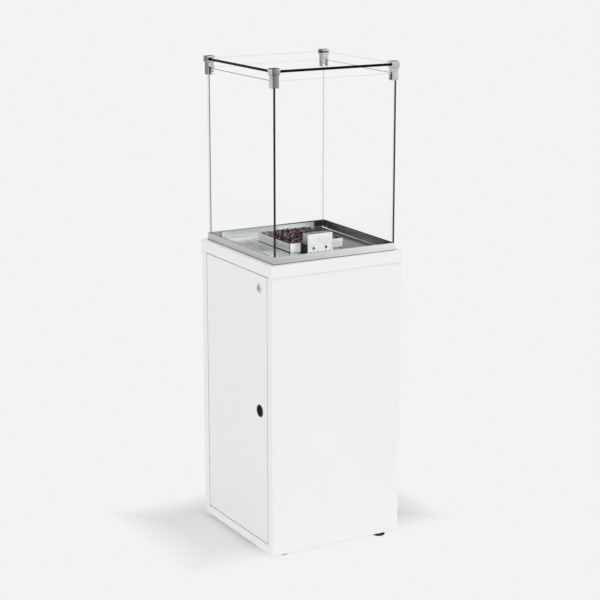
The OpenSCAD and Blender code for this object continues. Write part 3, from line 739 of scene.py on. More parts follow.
@dataclass(frozen=True)
class Palette:
    """Every finish on the fireplace."""

    coat: Finish = PowderCoat("white_powder_coat", (0.885, 0.885, 0.9), 0.42)
    # Painted light and shade: the rim is painted lighter towards the right, and its faces along X are a copy
    # of its steel in a tone of their own.
    rim: Finish = SheetMetal(
        "brushed_steel_rim", (0.54, 0.54, 0.54), 0.34,
        stains=(Stain(x=(-0.2, FAR), feather=0.4, colour=(0.82, 0.82, 0.82), dull=0.0),),
    )
    rim_side: Finish = SheetMetal("brushed_steel_rim_sides", (0.56, 0.57, 0.565), 0.34)
    # Painted shade and reflection: the near left clamp's front is darker, the clamps' sides darker towards
    # the back and their tops dark, as copies of one steel in other tones.
    clamp: Finish = SheetMetal(
        "brushed_steel_clamps", (0.66, 0.66, 0.66), 0.34, Grain.UPRIGHT, lines=0.2, patches=0.3,
        patch_size=28 * MM,
        stains=(Stain(x=(-FAR, -0.186), y=(-FAR, 0.0), feather=0.03, colour=(0.14, 0.14, 0.14), dull=0.0),),
    )
    clamp_side: Finish = SheetMetal(
        "brushed_steel_clamp_sides", (0.74, 0.74, 0.74), 0.34, Grain.UPRIGHT, lines=0.2, patches=0.3,
        patch_size=28 * MM, stains=(Stain(y=(0.0, FAR), colour=(0.2, 0.2, 0.2), dull=0.0),),
    )
    clamp_top: Finish = SheetMetal("brushed_steel_clamp_tops", (0.12, 0.12, 0.12), 0.34, lines=0.2, edge=0.35)
    # Painted reflection: the plate's right part is near-black and dull, standing for the dark rail that it
    # mirrors; left of the burner box the plate has a darker patch.
    plate: Finish = SheetMetal(
        "bright_steel_plate", (0.48, 0.52, 0.52), 0.13, Grain.ALONG_Y, lines=0.08, relief=0.06,
        stains=(
            Stain(x=(0.05, FAR), feather=0.04, colour=(0.065, 0.07, 0.07), dull=0.8),
            Stain(x=(-0.21, -0.07), y=(-0.08, 0.15), feather=0.06, colour=(0.08, 0.086, 0.086), strength=0.9),
        ),
    )
    # Painted shade: near-black steel for the heat shield's upper side and the floor plate's cut edges, so
    # that the plate's slots look dark.
    sooty: Finish = SheetMetal("sooty_steel", (0.012, 0.014, 0.014), 0.5, bare=0.2)
    # Painted light and shade: the boxes' ends, sides and tops are copies of one steel in three tones; the
    # ends are near-white and mostly matt so that they look lit, the sides darker.
    lit_box_ends: SheetMetal = SheetMetal(
        "bright_steel_ends", (0.99, 0.99, 0.99), 0.42, Grain.UPRIGHT, lines=0.03, bare=0.1
    )
    shaded_box_sides: SheetMetal = SheetMetal(
        "bright_steel_sides", (0.74, 0.78, 0.775), 0.3, Grain.ALONG_Y, lines=0.06, bare=0.7
    )
    box_tops: SheetMetal = SheetMetal("bright_steel_tops", (0.5, 0.51, 0.51), 0.3, lines=0.08, edge=0.33)
    # Painted shade: the hem's front and back are a darker copy of its steel, darker still towards the right.
    hem: Finish = SheetMetal("bright_steel_hem", (0.86, 0.87, 0.87), 0.25, lines=0.03)
    shaded_hem: Finish = SheetMetal(
        "dull_steel_hem", (0.7, 0.71, 0.71), 0.3, lines=0.03,
        stains=(Stain(x=(-0.1, FAR), feather=0.25, colour=(0.1, 0.11, 0.11)),),
    )
    # Painted light and reflection: the front and back rails are painted lighter right of the middle and
    # near-black further right; the side rails are darker, near-black towards the back.
    rail: Finish = SheetMetal(
        "brushed_steel_rails", (0.68, 0.71, 0.705), 0.2, lines=0.04, bare=0.5,
        stains=(
            Stain(x=(0.0, FAR), feather=0.1, colour=(0.9, 0.93, 0.925), dull=0.0),
            Stain(x=(0.14, FAR), feather=0.06),
        ),
    )
    shaded_rail: Finish = SheetMetal(
        "darkened_steel", (0.24, 0.25, 0.25), 0.3, relief=0.1,
        stains=(
            Stain(y=(-0.06, FAR), feather=0.24, colour=(0.006, 0.007, 0.007)),
            Stain(y=(-FAR, -0.08), feather=0.08, strength=0.55),
        ),
    )
    zinc: Finish = Galvanised("zinc_sheet", (0.6, 0.61, 0.62), 0.42)
    heat: Finish = SheetMetal(
        "heat_tinted_steel", (0.4, 0.38, 0.36), 0.35, patches=0.7, patch_size=30 * MM, tint=(0.32, 0.22, 0.13)
    )
    plated: Finish = SheetMetal("satin_plating", (0.56, 0.56, 0.57), 0.22, Grain.ALONG_X, pitch=0.4 * MM)
    keyway: Finish = SheetMetal("worn_plating", (0.3, 0.3, 0.31), 0.26)
    copper: Finish = SheetMetal("drawn_copper", (0.62, 0.3, 0.18), 0.3, patches=0.5, tint=(0.3, 0.14, 0.09))
    brass: Finish = SheetMetal("turned_brass", (0.7, 0.5, 0.2), 0.26, pitch=0.35 * MM)
    casting: Finish = Galvanised(
        "die_cast_alloy", (0.55, 0.55, 0.54), 0.5, spangle=Drift(2 * MM, (0.82, 1.12), -0.1)
    )
    rubber: Finish = Moulded("black_rubber", (0.018, 0.018, 0.018), 0.7)
    grey_rubber: Finish = Moulded(
        "grey_rubber", (0.3, 0.32, 0.32), 0.6, stains=(Stain(x=(0.0, FAR), feather=0.1),)
    )
    plastic: Finish = Moulded("black_plastic", (0.01, 0.01, 0.011), 0.45, shine=0.15)
    bush: Finish = Moulded("pale_bearing_plastic", (0.7, 0.68, 0.62), 0.45)
    button: Finish = Moulded("red_plastic", (0.45, 0.02, 0.015), 0.3, gloss_coat=0.3)
    blacked: Finish = SheetMetal("blacked_steel", (0.03, 0.03, 0.03), 0.4)
    ceramic: Finish = Moulded(
        "glazed_ceramic", (0.8, 0.8, 0.76), 0.2, skin=Relief(0.9 * MM, 0.01 * MM, 0.6), gloss_coat=0.6
    )
    lava: Finish = LavaRock("lava_stone", (0.012, 0.005, 0.006), 0.85)
    glass: Finish = ClearGlass("clear_glass", (0.997, 1.0, 0.999), 0.02)
    bright_glass: Finish = ClearGlass("bright_glass", (0.997, 1.0, 0.999), 0.02, shine=1.0, shine_index=1.6)
    edge: Finish = GroundEdge("ground_glass_edge", (0.008, 0.009, 0.009), 0.35)
    lid_edge: Finish = GroundEdge("polished_lid_edge", (0.002, 0.002, 0.002), 0.3, shine=0.06)
    # Painted highlight: a pale copy of the ground edge for the upward faces of some sheets' upper edges.
    highlit_edge: Finish = GroundEdge("pale_glass_edge", (0.6, 0.62, 0.615), 0.35, clear=0.95)


def placed(name: str, data: bpy.types.ID) -> bpy.types.Object:
    """Put a new object into the scene.

    Args:
        name: its name.
        data: its mesh, camera or lamp.

    Returns:
        The object.
    """
    made = bpy.data.objects.new(name, data)
    bpy.context.scene.collection.objects.link(made)
    return made


def mesh_of(shape: bmesh.types.BMesh, name: str) -> bpy.types.Mesh:
    """Turn an edited shape into a new mesh.

    Args:
        shape: the shape, which is then freed.
        name: the mesh's name.

    Returns:
        The mesh.
    """
    mesh = bpy.data.meshes.new(name)
    shape.to_mesh(mesh)
    shape.free()
    return mesh


def bake_modifiers(piece: bpy.types.Object) -> None:
    """Turn a piece's modifiers into its plain mesh and remove them.

    Args:
        piece: the piece.
    """
    graph = bpy.context.evaluated_depsgraph_get()
    mesh = bpy.data.meshes.new_from_object(piece.evaluated_get(graph), depsgraph=graph)
    piece.modifiers.clear()
    piece.data = mesh


def corners_of(points: Iterable[Vector]) -> tuple[Vector, Vector]:
    """Give the lowest and highest corner of the box round some points.

    Args:
        points: the points.

    Returns:
        The two corners.
    """
    known = list(points)
    low, high = (Vector(pick(point[axis] for point in known) for axis in range(3)) for pick in (min, max))
    return low, high


def islands(shape: bmesh.types.BMesh) -> list[list[bmesh.types.BMVert]]:
    """Give the corners of each separate solid in a mesh.

    Args:
        shape: the mesh.

    Returns:
        A list of corners for each solid.
    """
    left = dict.fromkeys(shape.verts)
    found = []
    while left:
        reached = [next(iter(left))]
        left.pop(reached[0])
        for corner in reached:
            for edge in corner.link_edges:
                other = edge.other_vert(corner)
                if other in left:
                    left.pop(other)
                    reached.append(other)
        found.append(reached)
    return found


def paint_faces(
    piece: bpy.types.Object, finishes: Iterable[Finish], pick: Callable[[bpy.types.MeshPolygon], int]
) -> None:
    """Give a piece's faces their finishes.

    Args:
        piece: the piece.
        finishes: the finishes.
        pick: tells the number of a face's finish.
    """
    piece.data.materials.clear()
    for finish in finishes:
        piece.data.materials.append(finish.material())
    for face in piece.data.polygons:
        face.material_index = pick(face)


def paint_frame(piece: bpy.types.Object, along_x: Finish, along_y: Finish) -> None:
    """Give the sides of a square frame that run along X one finish, and those along Y another."""
    paint_faces(piece, (along_x, along_y), lambda face: int(abs(face.center.x) > abs(face.center.y)))


Others = dict[Facing, Finish]


def paint_facing(piece: bpy.types.Object, finish: Finish, others: Others) -> None:
    """Give a piece's faces finishes by the way they look, or finish where others has none."""
    numbers = {way: number for number, way in enumerate(others, 1)}
    paint_faces(piece, (finish, *others.values()), lambda face: numbers.get(Facing.of(face.normal), 0))


@dataclass
class Workshop:
    """What every sub-assembly is built with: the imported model, the finishes and the record's slots.

    Attributes:
        palette: the finishes.
        weld: the distance within which a copy's corners are one.
        flat: the angle within which its faces are one.
        fold: the least angle of an edge that is rounded.
        smooth: the least angle of an edge that still shows after that.
        body_of: the body that each CAD node rides on.
        slot_of: the record's material slot of each CAD node.
    """

    frame: dict
    palette: Palette = field(default_factory=Palette)
    weld: float = 0.002 * MM
    flat: float = math.radians(0.5)
    fold: float = math.radians(40)
    smooth: float = math.radians(25)
    body_of: dict[str, str] = field(default_factory=dict)
    slot_of: dict[str, str] = field(default_factory=dict)

    def __post_init__(self) -> None:
        """Look up each node's body and slot in the record."""
        record = self.frame["record"]
        self.body_of = {node: body for body, nodes in record["behaviour"]["bodies"].items() for node in nodes}
        self.slot_of = {part["node"]: part["material_slot"] for part in record["subparts"]}

    def dress(self, finish: Finish, *nodes: str) -> None:
        """Give CAD nodes a finish.

        Args:
            finish: the finish.
            nodes: the nodes' names.
        """
        for name in nodes:
            piece = self.frame["nodes"][name]
            for place in piece.material_slots:
                place.material = finish.material()
            if not piece.material_slots:
                piece.data.materials.append(finish.material())
            LOG.info("%s: %s", name, finish.name)

    def join(self, piece: bpy.types.Object, node: str) -> None:
        """Let a piece ride on a CAD node's body."""
        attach(piece, self.body_of[node])

    def stand_in(self, piece: bpy.types.Object, node: str) -> None:
        """Put a piece in the place of a CAD node.

        Args:
            piece: the piece, already in its place.
            node: the node that it stands for.
        """
        self.join(piece, node)
        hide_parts(node)
        LOG.info("%s stands for %s: %d faces", piece.name, node, len(piece.data.polygons))

    def merged_copy(self, node: str, name: str) -> bpy.types.Object:
        """Copy a CAD node with its loose triangles joined up and its flat faces made whole.

        Args:
            node: the CAD node.
            name: the copy's name.

        Returns:
            The copy.
        """
        shape = bmesh.new()
        shape.from_mesh(self.frame["nodes"][node].data)
        bmesh.ops.remove_doubles(shape, verts=shape.verts, dist=self.weld)
        bmesh.ops.dissolve_limit(shape, angle_limit=self.flat, verts=shape.verts, edges=shape.edges)
        return placed(name, mesh_of(shape, name))

    def soften(self, finish: Finish, width: float, *nodes: str, others: Others | None = None) -> None:
        """Replace CAD nodes with copies whose sharp edges are rounded.

        Args:
            finish: the copies' finish.
            width: the width of the rounding.
            nodes: the CAD nodes.
            others: the finishes of faces that look certain ways, where they differ.
        """
        for node in nodes:
            piece = self.merged_copy(node, f"{node}_softened")
            edge = piece.modifiers.new("rounding", "BEVEL")
            edge.width = width
            edge.segments = 2
            edge.limit_method = "ANGLE"
            edge.angle_limit = self.fold
            bake_modifiers(piece)
            paint_facing(piece, finish, others or {})
            piece.data.shade_smooth()
            piece.data.set_sharp_from_angle(angle=self.smooth)
            self.stand_in(piece, node)

    def dress_by_facing(self, node: str, finish: Finish, others: Others) -> None:
        """Replace a CAD node by a copy with finishes by the way its faces look.

        Args:
            node: the CAD node.
            finish: the finish of every face that others doesn't name.
            others: the finishes of faces that look certain ways.
        """
        piece = self.merged_copy(node, f"{node}_finished")
        paint_facing(piece, finish, others)
        self.stand_in(piece, node)

    def frame_in_two(self, node: str, along_x: Finish, along_y: Finish) -> None:
        """Replace a square frame by a copy whose pairs of sides have a finish each.

        Args:
            node: the CAD node.
            along_x: the finish of the front and back sides.
            along_y: the finish of the left and right sides.
        """
        piece = self.merged_copy(node, f"{node}_finished")
        paint_frame(piece, along_x, along_y)
        self.stand_in(piece, node)


class Former(Graph):
    """A geometry tree that takes and gives a geometry, with named sizes as its inputs."""

    def __init__(self, name: str, sizes: Iterable[str], places: Iterable[str] = (), seed: int = 0) -> None:
        """Open the tree.

        Args:
            name: the tree's name.
            sizes: the names of its number inputs.
            places: the names of its vector inputs.
            seed: the number that the seeds of its random draws are counted from.
        """
        super().__init__(bpy.data.node_groups.new(name, "GeometryNodeTree"))
        kinds = {"Geometry": "NodeSocketGeometry"}
        kinds.update(dict.fromkeys(sizes, "NodeSocketFloat"))
        kinds.update(dict.fromkeys(places, "NodeSocketVector"))
        for title, kind in kinds.items():
            self.tree.interface.new_socket(title, in_out="INPUT", socket_type=kind)
        self.tree.interface.new_socket("Geometry", in_out="OUTPUT", socket_type="NodeSocketGeometry")
        self.seed = seed
        self.given = self.node("NodeGroupInput").outputs
        self.result = self.node("NodeGroupOutput")

    def position(self) -> Socket:
        """Give the position field."""
        return self.out("GeometryNodeInputPosition")

    def normal(self) -> Socket:
        """Give the field of the surface's normal."""
        return self.out("GeometryNodeInputNormal")

    def height_of(self, vector: Socket) -> Socket:
        """Give a vector's Z."""
        return self.node("ShaderNodeSeparateXYZ", vector).outputs["Z"]

    def named(self, name: str) -> Socket:
        """Give the field of a named number."""
        return self.out("GeometryNodeInputNamedAttribute", options={"data_type": "FLOAT"}, Name=name)

    def store(self, shape: Socket, name: str, value: Input, domain: str = "POINT") -> Socket:
        """Store a number under a name, on the points or another domain of a geometry."""
        kind = {"data_type": "FLOAT", "domain": domain}
        return self.out("GeometryNodeStoreNamedAttribute", shape, options=kind, Name=name, Value=value)

    def random(self, low: Input, high: Input, draw: int) -> Socket:
        """Draw a random number, or a random vector between two vectors.

        Args:
            low: the lowest.
            high: the highest.
            draw: the number of this draw.

        Returns:
            The number's or the vector's socket.
        """
        wide = isinstance(low, tuple)
        kind = {"data_type": "FLOAT_VECTOR" if wide else "FLOAT"}
        made = self.node("FunctionNodeRandomValue", options=kind, Seed=self.seed + draw)
        self.fill(made.inputs[0 if wide else 2], low)
        self.fill(made.inputs[1 if wide else 3], high)
        return made.outputs[0 if wide else 1]

    def moved(self, shape: Socket, **to: Input) -> Socket:
        """Move a geometry's points to a Position or by an Offset."""
        return self.out("GeometryNodeSetPosition", shape, **to)

    def real(self, shape: Socket) -> Socket:
        """Make a geometry's instances real."""
        return self.out("GeometryNodeRealizeInstances", shape)

    def end(self, shape: Socket, finish: Finish) -> None:
        """End the tree with a real geometry and its finish."""
        painted = self.out("GeometryNodeSetMaterial", self.real(shape), Material=finish.material())
        self.feed(self.result, {"Geometry": painted})

    def run(self, piece: bpy.types.Object, sizes: dict[str, float | Vector]) -> None:
        """Run the tree on a piece and keep the result as its plain mesh.

        Args:
            piece: the piece.
            sizes: the tree's inputs by name.
        """
        modifier = piece.modifiers.new(self.tree.name, "NODES")
        modifier.node_group = self.tree
        for item in self.tree.interface.items_tree:
            if item.in_out == "INPUT" and item.name in sizes:
                modifier[item.identifier] = sizes[item.name]
        bake_modifiers(piece)


@dataclass
class Cabinet:
    """The white sheet-steel cabinet and the plates inside it.

    Attributes:
        rounding: the rounding of the folded sheets' edges.
    """

    rounding: float = 0.5 * MM

    def build(self, shop: Workshop) -> None:
        """Round the sheets' edges and dress every piece.

        Args:
            shop: the workshop.
        """
        coat = shop.palette.coat
        shop.soften(coat, self.rounding, "top_cap", "front_panel", "back_panel", "side_panel")
        shop.dress(coat, "base_tray", "bottom_rail", "top_rail")
        # The heat shield's upper side, seen through the plate's slots, is painted near-black as shade.
        shop.dress_by_facing("heat_shield", shop.palette.zinc, {Facing.UPWARDS: shop.palette.sooty})


@dataclass
class Door:
    """The door with its hinge pins, finger cup and lock.

    Attributes:
        rounding: the rounding of the folded sheet's edges.
    """

    rounding: float = 0.5 * MM

    def build(self, shop: Workshop) -> None:
        """Round the door's edges and dress its fittings.

        Args:
            shop: the workshop.
        """
        finishes = shop.palette
        shop.soften(finishes.coat, self.rounding, "door_panel")
        shop.dress(finishes.plated, "door_pivots", "lock_housing", "lock_cam")
        shop.dress(finishes.keyway, "lock_plug")
        shop.dress(finishes.bush, "pivot_bushes")
        shop.dress(finishes.plastic, "finger_cup")
        shop.dress(finishes.rubber, "door_bumpers")
        shop.dress(finishes.zinc, "lock_nut")


@dataclass
class Feet:
    """The four levelling feet.

    Attributes:
        nodes: the feet's CAD nodes.
    """

    nodes: tuple[str, ...] = ("foot_door_front", "foot_door_back", "foot_side_front", "foot_side_back")

    def build(self, shop: Workshop) -> None:
        """Dress the feet and their nuts."""
        shop.dress(shop.palette.plastic, *self.nodes)
        shop.dress(shop.palette.zinc, "foot_nuts")


@dataclass
class Bar:
    """A round bar along the outline of a CAD node.

    Attributes:
        name: its name.
        node: the CAD node.
        radius: its radius.
        inset: how far its middle lies inside the node's outline.
        height: the height of its middle.
        sides: the number of its sides.
    """

    name: str
    node: str
    radius: float
    inset: float
    height: float
    sides: int = 12

    def build(self, shop: Workshop, finish: Finish) -> bpy.types.Object:
        """Lay the bar.

        Args:
            shop: the workshop.
            finish: its finish.

        Returns:
            The bar.
        """
        low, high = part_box(self.node)
        width, depth = (high[axis] - low[axis] - 2 * self.inset for axis in range(2))
        sizes = {"Width": width, "Depth": depth, "Height": self.height, "Radius": self.radius}
        piece = placed(self.name, bpy.data.meshes.new(self.name))
        self.tree(sizes, finish).run(piece, sizes)
        shop.join(piece, self.node)
        return piece

    def tree(self, sizes: Iterable[str], finish: Finish) -> Former:
        """Build the bar's geometry tree.

        Args:
            sizes: the names of its inputs.
            finish: the bar's finish.

        Returns:
            The tree.
        """
        former = Former(f"{self.name}_bar", sizes)
        wide, deep, high, radius = (former.given[title] for title in sizes)
        path = former.out("GeometryNodeCurvePrimitiveQuadrilateral", Width=wide, Height=deep)
        ring = former.out("GeometryNodeCurvePrimitiveCircle", Resolution=self.sides, Radius=radius)
        swept = former.out("GeometryNodeCurveToMesh", Curve=path, Profile_Curve=ring)
        lift = former.out("ShaderNodeCombineXYZ", Z=high)
        former.end(former.out("GeometryNodeTransform", Geometry=swept, Translation=lift), finish)
        return former


@dataclass
class TopTray:
    """The brushed tray that carries the glass, with its floor plate, rails and screws.

    Attributes:
        rounding: the rounding of the rim's folds.
        hem_radius: the radius of the rolled hem round the floor plate.
        bead_radius: the radius of the dark rubber bead round the sealing strip under the rim; it is partly
            the strip itself and partly stands for the shade under the rim.
    """

    rounding: float = 0.4 * MM
    hem_radius: float = 1.3 * MM
    bead_radius: float = 1.5 * MM

    def build(self, shop: Workshop) -> None:
        """Round the rim, roll the plate's hem and the strip's edge, and dress the rest.

        Args:
            shop: the workshop.
        """
        finishes = shop.palette
        shop.soften(finishes.rim, self.rounding, "rim_tray", others={Facing.SIDEWAYS: finishes.rim_side})
        # The plate's cut edges are painted near-black as shade, so that its slots look dark.
        edges = {Facing.SIDEWAYS: finishes.sooty, Facing.LENGTHWAYS: finishes.sooty}
        # Painted shade on the plate under the pilot box.
        low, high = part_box("pilot_box")
        shade_under_pilot = Stain(x=(low.x, high.x), y=(low.y, high.y))
        plate = replace(finishes.plate, stains=(*finishes.plate.stains, shade_under_pilot))
        shop.dress_by_facing("floor_pan", plate, edges)
        shop.dress(finishes.rim, "tray_screws", "tray_nuts")
        shop.dress(finishes.rubber, "tray_gasket")
        # The side rails take the darker copy: painted reflection.
        shop.frame_in_two("glass_rails", finishes.rail, finishes.shaded_rail)
        hem = Bar("floor_hem", "floor_pan", self.hem_radius, self.hem_radius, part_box("floor_pan")[1].z)
        # The hem's front and back take the darker copy: painted shade.
        paint_frame(hem.build(shop, finishes.hem), finishes.shaded_hem, finishes.hem)
        # The dark bead is partly the real strip and partly a painted shade line under the rim.
        low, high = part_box("tray_gasket")
        bead = Bar("gasket_edge", "tray_gasket", self.bead_radius, 0.0, (low.z + high.z) / 2)
        bead.build(shop, finishes.rubber)


@dataclass
class Glazing:
    """The four panes and the top glass, with ground edges.

    Attributes:
        arris: the width of the chamfer ground on each pane's edges.
        lid_arris: the width of the finer chamfer on the top glass.
        sheets: the CAD nodes of the glass.
        bright: the sheets that mirror more light, on the door's side.
        pale: the sheets whose upper edge is painted pale, a painted highlight.
        upward: the least upward part of the normal of a face on an upper edge.
        square: the least part of the normal across the sheet on its clear faces.
    """

    arris: float = 0.6 * MM
    lid_arris: float = 0.15 * MM
    sheets: tuple[str, ...] = ("pane_front", "pane_back", "pane_left", "pane_right", "top_glass")
    bright: tuple[str, ...] = ("pane_left",)
    pale: tuple[str, ...] = ("pane_front", "pane_back")
    upward: float = 0.6
    square: float = 0.99

    def build(self, shop: Workshop) -> None:
        """Replace each sheet with one whose faces are clear and whose edges are ground.

        Args:
            shop: the workshop.
        """
        for node in self.sheets:
            self.sheet(shop, node)
        shop.frame_in_two("glass_seats", shop.palette.grey_rubber, shop.palette.rubber)

    def sheet(self, shop: Workshop, node: str) -> None:
        """Build one sheet of glass in the place of its CAD solid.

        Args:
            shop: the workshop.
            node: the CAD node.
        """
        low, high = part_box(node)
        size = high - low
        across = min(range(3), key=lambda axis: size[axis])
        lid = across == 2
        shape = bmesh.new()
        bmesh.ops.create_cube(shape, size=1.0)
        bmesh.ops.scale(shape, vec=size, verts=shape.verts)
        bmesh.ops.translate(shape, vec=(low + high) / 2, verts=shape.verts)
        arris = self.lid_arris if lid else self.arris
        bmesh.ops.bevel(shape, geom=shape.edges[:], offset=arris, segments=1, affect="EDGES", profile=0.5)
        for face in shape.faces:
            # Upward faces on the upper edges of some sheets get the pale copy: a painted highlight.
            ground = 2 if face.normal.z > self.upward and node in self.pale else 1
            face.material_index = 0 if abs(face.normal[across]) > self.square else ground
        piece = placed(f"{node}_sheet", mesh_of(shape, f"{node}_sheet"))
        finishes = shop.palette
        clear = finishes.bright_glass if node in self.bright else finishes.glass
        for finish in (clear, finishes.lid_edge if lid else finishes.edge, finishes.highlit_edge):
            piece.data.materials.append(finish.material())
        shop.stand_in(piece, node)


@dataclass
class Clamps:
    """The corner clamps that hold the panes and the top glass.

    Attributes:
        rounding: the rounding of their edges.
        nodes: the CAD nodes of the clamps.
    """

    rounding: float = 0.5 * MM
    nodes: tuple[str, ...] = ("clamp_front_left", "clamp_front_right", "clamp_back_left", "clamp_back_right")

    def build(self, shop: Workshop) -> None:
        """Round the clamps' edges and dress their liners, pads and screws.

        Args:
            shop: the workshop.
        """
        finishes = shop.palette
        # The clamps' tops and sides get their own tones: painted shade and reflection.
        others = {Facing.UPWARDS: finishes.clamp_top, Facing.SIDEWAYS: finishes.clamp_side}
        shop.soften(finishes.clamp, self.rounding, *self.nodes, others=others)
        shop.dress(finishes.rubber, "clamp_liners", "lid_pads")
        shop.dress(finishes.blacked, "clamp_screws")


@dataclass
class Burner:
    """The burner box, and the pilot beside it.

    Attributes:
        rounding: the rounding of the boxes' folds.
        contact_shadow_height: the height of the painted contact shadow, a near-black band along the bottom of
            the burner box's sides where they meet the plate.
        seam: the width of the open seam at the burner box's left front corner.
        skin: how thin the outer skin of the boxes' sheets is; under it the sheets are painted near-black as
            shade, so that holes, cut edges and the boxes' inside look dark.
        margin: how far from the plate a box's walls begin, and how wide a front stain's fade is.
        bend: how far round the corner from the front a front stain reaches.
        pilot_shade: the lowest and highest edge of the fade of the painted shade on the pilot box's sides,
            which are darker towards the bottom.
    """

    rounding: float = 0.4 * MM
    contact_shadow_height: float = 2.6 * MM
    seam: float = 3.4 * MM
    skin: float = 0.15 * MM
    margin: float = 1 * MM
    bend: float = 2 * MM
    pilot_shade: Span = (24 * MM, 62 * MM)

    def build(self, shop: Workshop) -> None:
        """Round the boxes' folds and dress the burner's parts.

        Args:
            shop: the workshop.
        """
        finishes = shop.palette
        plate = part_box("floor_pan")[1].z
        low, high = self.walls(shop, "burner_box", plate)
        pilot_low, pilot_high = self.walls(shop, "pilot_box", plate)
        # Painted contact shadow along the bottom of the burner box's sides.
        contact_shadow = Stain(z=(-FAR, plate + self.contact_shadow_height))
        front = (-FAR, low.y + self.bend)
        seam = Stain(x=(-FAR, low.x + self.seam), y=front, feather=self.margin)
        # Painted shade on the burner box's front behind the pilot box.
        lit = Stain(x=(pilot_low.x, pilot_high.x), y=front, feather=self.margin)
        self.box(shop, "burner_box", (low, high), (contact_shadow,), (seam, lit))
        # Painted shade on the pilot box's sides, darker towards the bottom.
        faded, sooty = (plate + height for height in reversed(self.pilot_shade))
        side = Stain(z=(-FAR, faded), feather=faded - sooty)
        self.box(shop, "pilot_box", (pilot_low, pilot_high), (side,), ())
        shop.dress(finishes.heat, "burner_grate", "burner_tube", "spark_electrode", "pilot_burner")
        shop.dress(finishes.ceramic, "electrode_ceramic")

    def walls(self, shop: Workshop, node: str, plate: float) -> tuple[Vector, Vector]:
        """Give the lowest and highest corner of what stands above the plate."""
        points = (corner.co for corner in shop.frame["nodes"][node].data.vertices)
        return corners_of(point for point in points if point.z > plate + self.margin)

    def box(
        self, shop: Workshop, node: str, walls: tuple[Vector, Vector], sides: Stains, ends: Stains
    ) -> None:
        """Round and dress one of the folded boxes.

        Args:
            shop: the workshop.
            node: the box's CAD node.
            walls: the lowest and highest corner of its walls.
            sides: the stains on its left and right sides.
            ends: the stains on its front and back.
        """
        low, high = walls
        # Painted shade: under the outer skin and below the plate the boxes' sheets are near-black.
        x, y = ((low[axis] + self.skin, high[axis] - self.skin) for axis in range(2))
        inside = Stain(x=x, y=y, z=(-FAR, high.z - self.skin), feather=self.skin)
        below = Stain(z=(-FAR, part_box("floor_pan")[1].z - self.margin))
        finishes = shop.palette
        # The sides, tops and ends are copies of one steel in different tones: painted light and shade.
        side, top, end = (
            replace(finish, name=f"{node}_{title}", stains=(inside, below, *stains))
            for finish, title, stains in (
                (finishes.shaded_box_sides, "sides", sides),
                (finishes.box_tops, "tops", ()),
                (finishes.lit_box_ends, "ends", ends),
            )
        )
        shop.soften(end, self.rounding, node, others={Facing.SIDEWAYS: side, Facing.UPWARDS: top})


